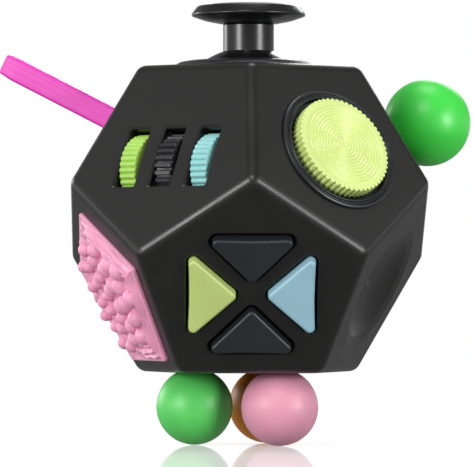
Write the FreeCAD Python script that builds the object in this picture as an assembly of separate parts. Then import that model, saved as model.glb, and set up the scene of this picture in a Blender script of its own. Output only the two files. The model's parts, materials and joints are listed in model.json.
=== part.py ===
import FreeCAD, Part
import math
import os

from FreeCAD import Matrix, Placement, Vector

# A twelve-sided desk fidget toy. Millimetres, +Z up. The origin is on the plane
# that the three small balls stand on, under the middle of the casing. The face
# with the four triangular buttons looks towards -Y.
#
# Each of the twelve faces has its own frame: x runs to the right as seen from
# outside, y runs up the slope, z is the outward normal, and z = 0 is the face.

# ---- Casing ----------------------------------------------------------------
EDGE = 21.0              # edge length of the regular twelve-sided casing
EDGE_ROUND = 2.0         # radius along all thirty edges
WALL = 2.0               # thickness of the moulded shells
SNAP_TAB_LENGTH = 5.0    # tabs that bridge the parting line, along the edge
SNAP_TAB_REACH = 1.4     # how far a tab reaches over each side of the line
SNAP_TAB_DEPTH = 1.8     # how far inside the corner a tab's flat back lies
LIP_BREAK = 0.3          # rounded-off edge of each opening

# ---- Fits ------------------------------------------------------------------
RUNNING_FIT = 0.05       # radial clearance of a turning or sliding fit
SIDE_GAP = 0.30          # clearance between a moving piece and its opening
REST_GAP = 0.10          # gap left between a stop and its seat

# ---- Fasteners: one small self-tapping screw size throughout ----------------
SCREW_RADIUS = 0.7
SCREW_HEAD_RADIUS = 1.35
SCREW_HEAD_HEIGHT = 0.9
SCREW_BITE = 2.4
SCREW_DRIVE_DEPTH = 0.4
POST_RADIUS = 1.4
PLATE = 1.2              # thickness of the inner plates

# ---- Joystick (top face) ---------------------------------------------------
STICK_BEZEL_RADIUS = 11.55
STICK_BEZEL_HEIGHT = 0.95
STICK_BEZEL_LIP = 0.12
STICK_BEZEL_BROW_RADIUS = 10.6
STICK_BEZEL_BROW_HEIGHT = 0.72
STICK_BEZEL_CROWN_RADIUS = 9.3   # where the bezel levels off
STICK_NECK_RADIUS = 10.4
STICK_PIVOT_DEPTH = 9.1
STICK_DOME_RADIUS = 12.15
STICK_DOME_WALL = 1.0
STICK_DOME_ANGLE = 47.5      # half-angle that the dome covers, in degrees
STICK_STEM_RADIUS = 3.9
STICK_STALK_RADIUS = 2.2
STICK_STALK_FOOT = 1.6       # how far the stalk reaches below the pivot
STICK_CAP_BASE = 6.6        # height of the cap's underside at the stem
STICK_CAP_RIM_HEIGHT = 7.9
STICK_CAP_RIM_ROUND = 0.3
STICK_CAP_TOP_ROUND = 0.45
STICK_CAP_RADIUS = 8.95
STICK_CAP_TOP_RADIUS = 7.8
STICK_HEIGHT = 9.4          # top of the cap's rim
STICK_PAD_RADIUS = 6.0
STICK_PAD_PROUD = 0.3
STICK_PAD_HOLLOW = 0.7
STICK_PAD_SEAT = 1.1
TRUNNION_RADIUS = 0.7
GIMBAL_INNER = 4.9
GIMBAL_OUTER = 6.3
GIMBAL_HALF_HEIGHT = 1.4
GIMBAL_ROOM = 0.5           # clearance round the ring, and the step of its socket
STICK_SOCKET_RADIUS = 12.45
STICK_SOCKET_WALL = 1.4
STICK_SOCKET_COLLAR = 1.5
STICK_SCREW_CIRCLE = 13.9
STICK_SCREW_DIRECTIONS = (0.0, 144.0, -144.0)
STICK_POST_HEIGHT = 1.2
BOOT_HEIGHT = 4.4            # sleeve that returns the stick, above the gimbal
BOOT_WALL = 0.6

# ---- Three gear rollers ----------------------------------------------------
ROLLER_PITCH = 6.5
ROLLER_WIDTH = 2.95
ROLLER_RADIUS = 5.6
ROLLER_PROUD = 0.75
ROLLER_DOWN = 1.45           # how far below the middle of the face they sit
ROLLER_SLOT_LENGTH = 9.8
ROLLER_SLOT_WIDTH = 3.7
ROLLER_SLOT_CORNER = 0.25
ROLLER_RELIEF = 0.75         # how far the slot is opened out behind the skin
ROLLER_SKIN = 1.2            # shell left at the slot, in front of the relief
ROLLER_BEVEL = 0.3
ROLLER_RIB_DEPTH = 0.38
ROLLER_RIBS = 36
BLACK_ROLLER_RIBS = 30
BLACK_ROLLER_RIB_DEPTH = 0.55
ROLLER_AXLE_RADIUS = 0.8
CRADLE_RIB = 1.6
CRADLE_POST_HEIGHT = 3.0
CRADLE_HALF_WIDTH = 10.0
CRADLE_ROOM = 0.4            # clearance round the wheels
CRADLE_SADDLE = 1.7          # how far the ribs rise above the axle
CRADLE_EAR = 0.5             # material round a screw post
CRADLE_SHARE = 0.94          # how much of its face's own room the cradle may fill

# ---- Dial ------------------------------------------------------------------
DIAL_ASIDE = 0.8              # middle of the dial right of the middle of its face
DIAL_DOWN = 0.35             # and below it
DIAL_RADIUS = 7.9
DIAL_PROUD = 1.8
DIAL_TEETH = 56
DIAL_TOOTH_DEPTH = 0.42
DIAL_RINGS = 12
DIAL_RING_DEPTH = 0.16
DIAL_RING_EDGE = 6.6
DIAL_RING_CENTRE = 0.8
DIAL_BEVEL = 0.35
DIAL_BEZEL_RADIUS = 10.0
DIAL_BEZEL_HEIGHT = 0.55
DIAL_WELL_RADIUS = 8.6
DIAL_WELL_DEPTH = 0.7
DIAL_NECK_RADIUS = 9.2
DIAL_FLOOR = 1.6
DIAL_SHAFT_RADIUS = 2.0
DIAL_RETAINER_RADIUS = 4.2
DIAL_RETAINER_THICK = 0.9
DIAL_WASHER_GROW = 0.8
DIAL_WASHER_THICK = 0.4

# ---- Four triangular buttons -----------------------------------------------
BUTTON_DOWN = 1.15           # cross centre below the middle of the face
BUTTON_APEX = 2.0            # tip of each triangle from the cross centre
BUTTON_BASE = 9.5            # base of each triangle from the cross centre
BUTTON_HALF_BASE = 7.1
BUTTON_CORNER = 0.8
BUTTON_PROUD = 1.3
BUTTON_FLANGE_GROW = 0.7
BUTTON_FLANGE_THICK = 0.9
BUTTON_TOP_BREAK = 0.45
BUTTON_DOME_RADIUS = 2.0
BUTTON_DOME_TOP_RADIUS = 1.2
BUTTON_DOME_WALL = 0.45
BUTTON_DOME_HEIGHT = 2.4
BUTTON_PLATE_RADIUS = 9.4

# ---- Bumpy soft pad --------------------------------------------------------
PAD_SIZE = 11.2              # distance from the pad's middle to its sides
PAD_CORNER = 0.5
PAD_ASIDE = -0.8             # middle of the pad left of the middle of its face
PAD_DOWN = 1.1               # and below it
PAD_RECESS = 0.8
PAD_PROUD = 0.5
PAD_BREAK = 0.2              # bevel round the pad's rim
PAD_BUMPS = 34
PAD_BUMP_FIELD = 10.0
PAD_BUMP_SMALL = 1.0
PAD_BUMP_LARGE = 1.7
PAD_PLUG_RADIUS = 1.2
PAD_PLUG_CIRCLE = 8.0
GOLDEN_ANGLE = 137.507764

# ---- Worry dish ------------------------------------------------------------
DISH_RADIUS = 9.2
DISH_DEPTH = 2.1
DISH_BACK_GROW = 1.6          # how far the wall behind the bowl reaches past it
DISH_LIP_ROUND = 0.8
DISH_LIP_DROP = 0.34

# ---- Strap -----------------------------------------------------------------
STRAP_UP = 4.2               # above the middle of its face
STRAP_WIDTH = 3.0
STRAP_HEIGHT = 3.6
STRAP_LENGTH = 23.0
STRAP_CORNER = 0.5
STRAP_FOOT_WIDTH = 7.0
STRAP_FOOT_HEIGHT = 6.6
STRAP_FOOT_THICK = 1.6
STRAP_STUB = 0.3
STRAP_SCREW_SPREAD = 5.4

# ---- Balls -----------------------------------------------------------------
SIDE_BALL_UP = 0.45          # above the middle of its face
SIDE_BALL_RADIUS = 6.8
SIDE_BALL_HEIGHT = 9.8       # centre of the large ball above its face
SIDE_BALL_NECK = 2.4
SIDE_BALL_BOSS = 4.4
SIDE_HOUSING_RADIUS = 6.0
SIDE_HOUSING_DEPTH = 10.4
FOOT_BALL_RADIUS = 5.9
FOOT_BALL_HEIGHT = 5.25      # centre of a small ball below the bottom face
FOOT_BALL_CIRCLE = 8.4
FOOT_BALL_TRAVEL = 1.2
FOOT_BALL_STEM = 2.0
FOOT_BOSS_RADIUS = 3.8
FOOT_BOSS_DEPTH = 4.0
FOOT_BALL_DIRECTIONS = {"green": -81.0, "pink": 33.0, "orange": 159.0}
BALL_STOP_GROW = 1.3
BALL_STOP_THICK = 1.0
BALL_STEM_TAIL = 0.5         # stem left below its stop ring
SLEEVE_ROOM = 0.3            # clearance between stem and sleeve
FOOT_PLATE_DEPTH = 8.0
FOOT_PLATE_RADIUS = 11.6
FOOT_PLATE_HUB = 3.2
FOOT_ARM_SHARE = 0.8         # width of an arm against the pads at its ends
SLEEVE_WALL = 0.7

# ---- Rocker switch ---------------------------------------------------------
ROCKER_LENGTH = 10.8
ROCKER_WIDTH = 7.0
ROCKER_TILT = 12.0
ROCKER_PIVOT_DEPTH = 1.0
ROCKER_MIDDLE = 0.9
ROCKER_ENDS = 2.0
ROCKER_KEEL = 3.0
ROCKER_END_GAP = 0.8
ROCKER_FRAME_HEIGHT = 0.8
ROCKER_FRAME_WALL = 0.8
ROCKER_FRAME_FLANGE = 1.1
ROCKER_NECK_DEPTH = 3.2
ROCKER_PIN_RADIUS = 0.7
ROCKER_CORNER = 0.8
ROCKER_END_ROUND = 0.5
ROCKER_END_DRAFT = 0.2       # the paddle is this much shorter below
ROCKER_HEEL_ROUND = 0.3

# ---- Spinner ---------------------------------------------------------------
SPINNER_LOBES = 3
SPINNER_LOBE_CIRCLE = 6.6
SPINNER_LOBE_RADIUS = 3.3
SPINNER_HUB_RADIUS = 4.4
SPINNER_THICK = 2.2
SPINNER_LIFT = 0.6
SPINNER_BEARING_RADIUS = 3.3
SPINNER_AXLE_RADIUS = 1.7
SPINNER_CAP_RADIUS = 3.5
SPINNER_CAP_THICK = 0.9
SPINNER_WEIGHT_RADIUS = 2.1
SPINNER_FLANGE_RADIUS = 3.4
SPINNER_FLANGE_THICK = 1.0
SPINNER_STEP = 0.6           # shoulder that keeps the rotor off the shell
SPINNER_CAP_ROUND = 0.35

# ---- Slider ----------------------------------------------------------------
SLIDER_TRAVEL = 3.2
SLIDER_NECK_WIDTH = 3.0
SLIDER_NECK_LENGTH = 4.0
SLIDER_KNOB_RADIUS = 2.9
SLIDER_KNOB_HEIGHT = 2.6
SLIDER_KNOB_LIFT = 0.9
SLIDER_FOOT_THICK = 1.0
SLIDER_FOOT_GROW = 1.3
SLIDER_TRACK_HEIGHT = 0.6
SLIDER_TRACK_MARGIN = 2.6
SLIDER_TRACK_WALL = 0.6
SLIDER_KNOB_SLOPE = 0.5      # how much narrower the knob's rim is than its foot
SLIDER_KNOB_RIM = 0.7
SLIDER_KNOB_DIP = 0.3
SLIDER_KNOB_ROUND = 0.2

# ---- Worked out from the above ----------------------------------------------
PENTAGON_RADIUS = EDGE / (2.0 * math.sin(math.radians(36.0)))
MIDDLE_RADIUS = PENTAGON_RADIUS * (1.0 + math.sqrt(5.0)) / 2.0
INRADIUS = EDGE * math.sqrt(250.0 + 110.0 * math.sqrt(5.0)) / 20.0
SLOPE = math.degrees(math.atan(0.5))
CENTRE_HEIGHT = INRADIUS + FOOT_BALL_HEIGHT + FOOT_BALL_RADIUS
ROUND = 360.0
PAST = 1.0                   # how far a cutter runs past what it cuts
DEEP = 9.0                   # a cutter this long clears any inner plate


def polar(radius, direction):
    """A point in a face frame, its direction turned from +y towards +x."""
    angle = math.radians(direction)
    return radius * math.sin(angle), radius * math.cos(angle)


def face_frame(azimuth, slope):
    """The frame of the face whose normal looks this way."""
    turn = math.radians(azimuth)
    rise = math.radians(slope)
    normal = Vector(
        math.sin(turn) * math.cos(rise),
        -math.cos(turn) * math.cos(rise),
        math.sin(rise),
    )
    right = Vector(math.cos(turn), math.sin(turn), 0.0)
    up = normal.cross(right)
    middle = normal * INRADIUS + Vector(0.0, 0.0, CENTRE_HEIGHT)
    return Placement(Matrix(
        right.x, up.x, normal.x, middle.x,
        right.y, up.y, normal.y, middle.y,
        right.z, up.z, normal.z, middle.z,
        0.0, 0.0, 0.0, 1.0,
    ))


FRAMES = {
    "joystick": face_frame(0.0, 90.0),
    "rollers": face_frame(-36.0, SLOPE),
    "dial": face_frame(36.0, SLOPE),
    "strap": face_frame(-108.0, SLOPE),
    "side_ball": face_frame(108.0, SLOPE),
    "rocker": face_frame(180.0, SLOPE),
    "buttons": face_frame(0.0, -SLOPE),
    "pad": face_frame(-72.0, -SLOPE),
    "dish": face_frame(72.0, -SLOPE),
    "spinner": face_frame(-144.0, -SLOPE),
    "slider": face_frame(144.0, -SLOPE),
    "feet": face_frame(0.0, -90.0),
}
MODULE_PLACES = {
    "dial": (DIAL_ASIDE, -DIAL_DOWN),
    "buttons": (0.0, -BUTTON_DOWN),
    "pad": (PAD_ASIDE, -PAD_DOWN),
    "side_ball": (0.0, SIDE_BALL_UP),
}


def placed(shape, face):
    """The shape moved from its module's place on a face to the whole toy."""
    moved = shape.copy()
    x, y = MODULE_PLACES.get(face, (0.0, 0.0))
    moved.translate(Vector(x, y, 0.0))
    moved.Placement = FRAMES[face].multiply(moved.Placement)
    return moved


def shifted(shape, x=0.0, y=0.0, z=0.0):
    moved = shape.copy()
    moved.translate(Vector(x, y, z))
    return moved


def turned_about(shape, middle, axis, degrees):
    moved = shape.copy()
    moved.rotate(middle, axis, degrees)
    return moved


# ---- Outlines and simple solids --------------------------------------------
def outline(corners, lift):
    """Closed wire through (u, v, radius) corners; lift maps (u, v) to space."""
    entries = []
    exits = []
    middles = []
    for index, (u, v, radius) in enumerate(corners):
        here = Vector(u, v, 0.0)
        before = corners[index - 1]
        after = corners[(index + 1) % len(corners)]
        back = (Vector(before[0], before[1], 0.0) - here).normalize()
        ahead = (Vector(after[0], after[1], 0.0) - here).normalize()
        half = back.getAngle(ahead) / 2.0
        reach = radius / math.tan(half)
        entries.append(here + back * reach)
        exits.append(here + ahead * reach)
        inward = (back + ahead)
        if radius > 0.0:
            inward.normalize()
            middles.append(here + inward * (radius / math.sin(half) - radius))
        else:
            middles.append(None)
    edges = []
    for index, middle in enumerate(middles):
        start = exits[index - 1]
        entry = entries[index]
        if (entry - start).Length > 1e-6:
            edges.append(Part.LineSegment(lift(start), lift(entry)).toShape())
        if middle is not None:
            arc = Part.Arc(lift(entry), lift(middle), lift(exits[index]))
            edges.append(arc.toShape())
    return Part.Wire(edges)


def grown(corners, amount):
    """The same convex outline with every side moved outwards."""
    result = []
    for index, (u, v, radius) in enumerate(corners):
        here = Vector(u, v, 0.0)
        before = corners[index - 1]
        after = corners[(index + 1) % len(corners)]
        back = (Vector(before[0], before[1], 0.0) - here).normalize()
        ahead = (Vector(after[0], after[1], 0.0) - here).normalize()
        half = back.getAngle(ahead) / 2.0
        outward = (back + ahead).normalize() * (-amount / math.sin(half))
        moved = here + outward
        result.append((moved.x, moved.y, max(radius + amount, 0.0)))
    return result


def prism(corners, low, high):
    """Upright solid on a rounded outline, between two heights."""
    wire = outline(corners, lambda p: Vector(p.x, p.y, low))
    return Part.Face(wire).extrude(Vector(0.0, 0.0, high - low))


def tapered(corners, low, high, narrowing):
    """Like a prism, but its top outline is smaller all round."""
    lower = outline(corners, lambda p: Vector(p.x, p.y, low))
    upper = outline(grown(corners, -narrowing), lambda p: Vector(p.x, p.y, high))
    return Part.makeLoft([lower, upper], True, True)


def lathe(corners):
    """Solid of revolution about z, from a (radius, height, rounding) outline."""
    wire = outline(corners, lambda p: Vector(p.x, 0.0, p.y))
    return Part.Face(wire).revolve(Vector(), Vector(0.0, 0.0, 1.0), ROUND)


def rod(radius, low, high, x=0.0, y=0.0):
    return Part.makeCylinder(radius, high - low, Vector(x, y, low))


def tube(outer, inner, low, high, x=0.0, y=0.0):
    return rod(outer, low, high, x, y).cut(rod(inner, low - 1.0, high + 1.0, x, y))


def cross_rod(radius, start, end):
    """Cylinder between two points."""
    return Part.makeCylinder(radius, (end - start).Length, start, end - start)


def block(low, high):
    """Box between two corners."""
    size = [b - a for a, b in zip(low, high)]
    return Part.makeBox(size[0], size[1], size[2], Vector(*low))


def rectangle(half_x, half_y, radius, x=0.0, y=0.0):
    return [
        (x - half_x, y - half_y, radius),
        (x + half_x, y - half_y, radius),
        (x + half_x, y + half_y, radius),
        (x - half_x, y + half_y, radius),
    ]


def opening(corners):
    """Cutter for a hole right through the wall, its outside edge eased."""
    hole = prism(corners, -WALL - 1.0, 1.0)
    wide = grown(corners, LIP_BREAK)
    eased = tapered([(-u, v, r) for u, v, r in reversed(wide)], 0.0, LIP_BREAK, LIP_BREAK)
    eased = turned_about(eased, Vector(), Vector(0.0, 1.0, 0.0), 180.0)
    return hole.fuse(eased)


def single(shape):
    """The shape as one clean solid."""
    return shape.removeSplitter().Solids[0]


# ---- The twelve-sided body ---------------------------------------------------
def ring_points(radius, height, start):
    points = []
    for index in range(5):
        angle = math.radians(start + 72.0 * index)
        points.append(Vector(
            radius * math.sin(angle),
            -radius * math.cos(angle),
            height,
        ))
    return points


def polyhedron(faces):
    shells = [Part.Face(Part.makePolygon(loop + [loop[0]])) for loop in faces]
    return Part.Solid(Part.Shell(shells))


def casing_rings(inradius):
    """The four rings of five corners of a casing of this inradius."""
    scale = inradius / INRADIUS
    low = (INRADIUS - PENTAGON_RADIUS) * scale
    top = inradius
    return (
        ring_points(PENTAGON_RADIUS * scale, top, 0.0),
        ring_points(MIDDLE_RADIUS * scale, low, 0.0),
        ring_points(MIDDLE_RADIUS * scale, -low, 36.0),
        ring_points(PENTAGON_RADIUS * scale, -top, 36.0),
    )


def upper_faces(rings):
    top, upper, lower, bottom = rings
    faces = [list(top)]
    for index in range(5):
        after = (index + 1) % 5
        faces.append([top[index], upper[index], lower[index], upper[after], top[after]])
    return faces


def lower_faces(rings):
    top, upper, lower, bottom = rings
    faces = [list(reversed(bottom))]
    for index in range(5):
        faces.append([
            bottom[index - 1], lower[index - 1], upper[index], lower[index], bottom[index],
        ])
    return faces


def dodecahedron(inradius):
    rings = casing_rings(inradius)
    return polyhedron(upper_faces(rings) + lower_faces(rings))


def upper_wedge(inradius):
    """Everything nearer to the six upper faces than to the six lower ones."""
    rings = casing_rings(inradius)
    faces = upper_faces(rings)
    for index in range(5):
        after = (index + 1) % 5
        faces.append([rings[1][index], rings[2][index], Vector()])
        faces.append([rings[2][index], rings[1][after], Vector()])
    return polyhedron(faces)


def face_room(share):
    """The room behind one face, in its frame, down to the casing's middle.

    It is drawn for a lower face, with a corner up the slope.
    """
    middle = Vector(0.0, 0.0, -INRADIUS)
    base = []
    for index in range(5):
        x, y = polar(share * PENTAGON_RADIUS, -72.0 * index)
        base.append(Vector(x, y, 0.0))
    faces = [base]
    for index in range(5):
        faces.append([base[index - 1], middle, base[index]])
    return polyhedron(faces)


def raised(shape):
    return shifted(shape, z=CENTRE_HEIGHT)


def snap_tabs():
    """Ten tabs of the lower shell that reach over the parting line inside."""
    inner = INRADIUS - WALL
    wedge = upper_wedge(2.0 * INRADIUS)
    rings = casing_rings(inner)
    seat = dodecahedron(inner)
    loose = dodecahedron(inner - REST_GAP)
    tabs = []
    for index in range(5):
        for start, end in (
            (rings[1][index], rings[2][index]),
            (rings[2][index], rings[1][(index + 1) % 5]),
        ):
            middle = (start + end) * 0.5
            along = (end - start).normalize()
            outward = Vector(middle).normalize()
            across = outward.cross(along)
            corner = (
                middle
                - along * (SNAP_TAB_LENGTH / 2.0)
                - across * SNAP_TAB_REACH
                - outward * SNAP_TAB_DEPTH
            )
            slab = Part.makeBox(SNAP_TAB_LENGTH, 2.0 * SNAP_TAB_REACH, SNAP_TAB_DEPTH + 1.0)
            slab.Placement = Placement(Matrix(
                along.x, across.x, outward.x, corner.x,
                along.y, across.y, outward.y, corner.y,
                along.z, across.z, outward.z, corner.z,
                0.0, 0.0, 0.0, 1.0,
            ))
            below = slab.common(seat).cut(wedge)
            above = slab.common(loose).common(wedge)
            tabs.append(raised(below.fuse(above)))
    return tabs


def screw_post(x, y, height):
    """Post on the inside of a face, without its pilot hole."""
    return rod(POST_RADIUS, -WALL - height, -WALL / 2.0, x, y)


def pilot(x, y, seat):
    """Pilot hole for a screw whose head bears on an inner plate below seat."""
    return rod(SCREW_RADIUS, seat - REST_GAP, seat + SCREW_BITE - PLATE + REST_GAP, x, y)


def screw(x, y, seat):
    """Screw driven outwards; its head bears at this height."""
    shank = rod(SCREW_RADIUS, seat, seat + SCREW_BITE, x, y)
    head = rod(SCREW_HEAD_RADIUS, seat - SCREW_HEAD_HEIGHT, seat, x, y)
    top = seat - SCREW_HEAD_HEIGHT
    drive = rod(SCREW_RADIUS, top, top + SCREW_DRIVE_DEPTH, x, y)
    return shank.fuse(head).cut(drive)


# ---- Positions shared by the shells and what is screwed to them -------------
STICK_SCREWS = [polar(STICK_SCREW_CIRCLE, 180.0 - d) for d in STICK_SCREW_DIRECTIONS]
STICK_SCREW_SEAT = -WALL - STICK_POST_HEIGHT - PLATE
CRADLE_SCREWS = [(-6.0, 7.6), (6.0, 7.6), (0.0, -9.6)]
CRADLE_SEAT = -WALL - CRADLE_POST_HEIGHT - PLATE
BUTTON_PLATE_TOP = (
    -WALL - REST_GAP - BUTTON_FLANGE_THICK - REST_GAP - BUTTON_DOME_HEIGHT
)
STRAP_SCREWS = [(-STRAP_SCREW_SPREAD, STRAP_UP), (STRAP_SCREW_SPREAD, STRAP_UP)]
STRAP_CLAMP_TOP = -WALL - STRAP_FOOT_THICK
FOOT_BALLS = {name: polar(FOOT_BALL_CIRCLE, d) for name, d in FOOT_BALL_DIRECTIONS.items()}
SIDE_HOUSING_SCREWS = [polar(SIDE_HOUSING_RADIUS + POST_RADIUS + 0.1, d) for d in (0.0, 180.0)]


def button_outline():
    """One triangle, its tip towards the cross centre at the origin."""
    return [
        (0.0, BUTTON_APEX, BUTTON_CORNER),
        (-BUTTON_HALF_BASE, BUTTON_BASE, BUTTON_CORNER),
        (BUTTON_HALF_BASE, BUTTON_BASE, BUTTON_CORNER),
    ]


BUTTONS = {"top": 0.0, "left": 90.0, "bottom": 180.0, "right": 270.0}


def at_button(shape, name):
    """A piece drawn for the upper triangle, turned to its own place."""
    return turned_about(shape, Vector(), Vector(0.0, 0.0, 1.0), BUTTONS[name])


def pad_outline():
    """Five-sided outline of the soft pad, one corner up the slope."""
    reach = PAD_SIZE / math.cos(math.radians(36.0))
    corners = []
    for index in range(5):
        x, y = polar(reach, 72.0 * index)
        corners.append((x, y, PAD_CORNER))
    return corners


def rocker_outline(extra):
    return rectangle(
        ROCKER_WIDTH / 2.0 + SIDE_GAP + extra,
        ROCKER_LENGTH / 2.0 + ROCKER_END_GAP + extra,
        ROCKER_CORNER,
    )


def slider_slot():
    half = SLIDER_NECK_WIDTH / 2.0 + SIDE_GAP
    length = SLIDER_NECK_LENGTH / 2.0 + SLIDER_TRAVEL + SIDE_GAP
    return rectangle(length, half, half - 0.01)


def shell_additions():
    """Posts and bosses moulded on the inside of the shells, by face."""
    adds = []
    for x, y in STICK_SCREWS:
        adds.append(placed(screw_post(x, y, STICK_POST_HEIGHT), "joystick"))
    for x, y in CRADLE_SCREWS:
        adds.append(placed(screw_post(x, y, CRADLE_POST_HEIGHT), "rollers"))
    post = -BUTTON_PLATE_TOP - WALL
    adds.append(placed(screw_post(0.0, 0.0, post), "buttons"))
    for x, y in STRAP_SCREWS:
        adds.append(placed(screw_post(x, y, STRAP_FOOT_THICK), "strap"))
    back = rod(DISH_RADIUS + DISH_BACK_GROW, -WALL - DISH_DEPTH, -WALL / 2.0)
    adds.append(placed(back, "dish"))
    adds.append(placed(rod(SIDE_BALL_BOSS, -2.0 * WALL, -WALL / 2.0), "side_ball"))
    for x, y in SIDE_HOUSING_SCREWS:
        adds.append(placed(screw_post(x, y, STICK_POST_HEIGHT), "side_ball"))
    for x, y in FOOT_BALLS.values():
        boss = rod(FOOT_BOSS_RADIUS, -FOOT_BOSS_DEPTH, -WALL / 2.0, x, y)
        adds.append(placed(boss, "feet"))
    adds.append(placed(screw_post(0.0, 0.0, FOOT_PLATE_DEPTH - WALL), "feet"))
    return adds


def through(corners):
    """A cutter of this outline right through the wall of the shell."""
    return prism(corners, -WALL - PAST, PAST)


def shell_cuts():
    """Openings, recesses and pilot holes, by face."""
    cuts = []
    neck = rod(STICK_NECK_RADIUS, -WALL - PAST, PAST)
    cuts.append(placed(neck, "joystick"))
    for x, y in STICK_SCREWS:
        cuts.append(placed(pilot(x, y, STICK_SCREW_SEAT + PLATE), "joystick"))
    for column in (-1, 0, 1):
        slot = rectangle(
            ROLLER_SLOT_WIDTH / 2.0,
            ROLLER_SLOT_LENGTH / 2.0,
            ROLLER_SLOT_CORNER,
            column * ROLLER_PITCH,
            -ROLLER_DOWN,
        )
        cuts.append(placed(opening(slot), "rollers"))
        relief = prism(grown(slot, ROLLER_RELIEF), -WALL - PAST, -ROLLER_SKIN)
        cuts.append(placed(relief, "rollers"))
    for x, y in CRADLE_SCREWS:
        cuts.append(placed(pilot(x, y, CRADLE_SEAT + PLATE), "rollers"))
    cuts.append(placed(rod(DIAL_NECK_RADIUS, -WALL - PAST, PAST), "dial"))
    hole = opening(grown(button_outline(), SIDE_GAP))
    for name in BUTTONS:
        cuts.append(placed(at_button(hole, name), "buttons"))
    cuts.append(placed(pilot(0.0, 0.0, BUTTON_PLATE_TOP), "buttons"))
    cuts.append(placed(prism(pad_outline(), -PAD_RECESS, PAST), "pad"))
    for index in range(5):
        x, y = polar(PAD_PLUG_CIRCLE, 72.0 * index)
        cuts.append(placed(rod(PAD_PLUG_RADIUS, -WALL - PAST, 0.0, x, y), "pad"))
    cuts.append(placed(dish_cutter(), "dish"))
    slot = rectangle(STRAP_WIDTH / 2.0, STRAP_HEIGHT / 2.0, STRAP_CORNER, 0.0, STRAP_UP)
    cuts.append(placed(through(slot), "strap"))
    for x, y in STRAP_SCREWS:
        cuts.append(placed(pilot(x, y, STRAP_CLAMP_TOP), "strap"))
    bore = rod(SIDE_BALL_NECK + RUNNING_FIT, -2.0 * WALL - PAST, PAST)
    cuts.append(placed(bore, "side_ball"))
    for x, y in SIDE_HOUSING_SCREWS:
        cuts.append(placed(pilot(x, y, STICK_SCREW_SEAT + PLATE), "side_ball"))
    cuts.append(placed(through(rocker_outline(ROCKER_FRAME_WALL)), "rocker"))
    cuts.append(placed(rod(SPINNER_AXLE_RADIUS, -WALL - PAST, PAST), "spinner"))
    cuts.append(placed(through(grown(slider_slot(), SLIDER_TRACK_WALL)), "slider"))
    for x, y in FOOT_BALLS.values():
        pressed = FOOT_BALL_HEIGHT - FOOT_BALL_TRAVEL
        cup = Part.makeSphere(FOOT_BALL_RADIUS + SIDE_GAP, Vector(x, y, pressed))
        bore = rod(FOOT_BALL_STEM + RUNNING_FIT, -FOOT_BOSS_DEPTH - PAST, 0.0, x, y)
        cuts.append(placed(cup.fuse(bore), "feet"))
    cuts.append(placed(pilot(0.0, 0.0, -FOOT_PLATE_DEPTH), "feet"))
    return cuts


def dish_cutter():
    """A shallow bowl with a soft lip."""
    sphere = (DISH_RADIUS ** 2 + DISH_DEPTH ** 2) / (2.0 * DISH_DEPTH)
    bowl = Part.makeSphere(sphere, Vector(0.0, 0.0, sphere - DISH_DEPTH))
    bowl = bowl.common(rod(DISH_RADIUS, -DISH_DEPTH - PAST, 0.0))
    cap = rod(DISH_RADIUS, 0.0, PAST)
    lip = lathe([
        (DISH_RADIUS - DISH_LIP_ROUND, -DISH_LIP_DROP, 0.0),
        (DISH_RADIUS + DISH_LIP_ROUND, 0.0, 0.0),
        (DISH_RADIUS + DISH_LIP_ROUND, PAST, 0.0),
        (DISH_RADIUS - DISH_LIP_ROUND, PAST, 0.0),
    ])
    return bowl.fuse(cap).fuse(lip)


def shells():
    """The two moulded halves, parted along the ten edges round the middle."""
    outside = dodecahedron(INRADIUS)
    outside = outside.makeFillet(EDGE_ROUND, outside.Edges)
    hollow = dodecahedron(INRADIUS - WALL)
    body = raised(outside.cut(hollow))
    body = body.fuse(shell_additions())
    body = body.cut(shell_cuts())
    wedge = raised(upper_wedge(2.0 * INRADIUS))
    upper = body.common(wedge)
    lower = body.cut(wedge).fuse(snap_tabs())
    return {"upper_shell": single(upper), "lower_shell": single(lower)}


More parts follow.
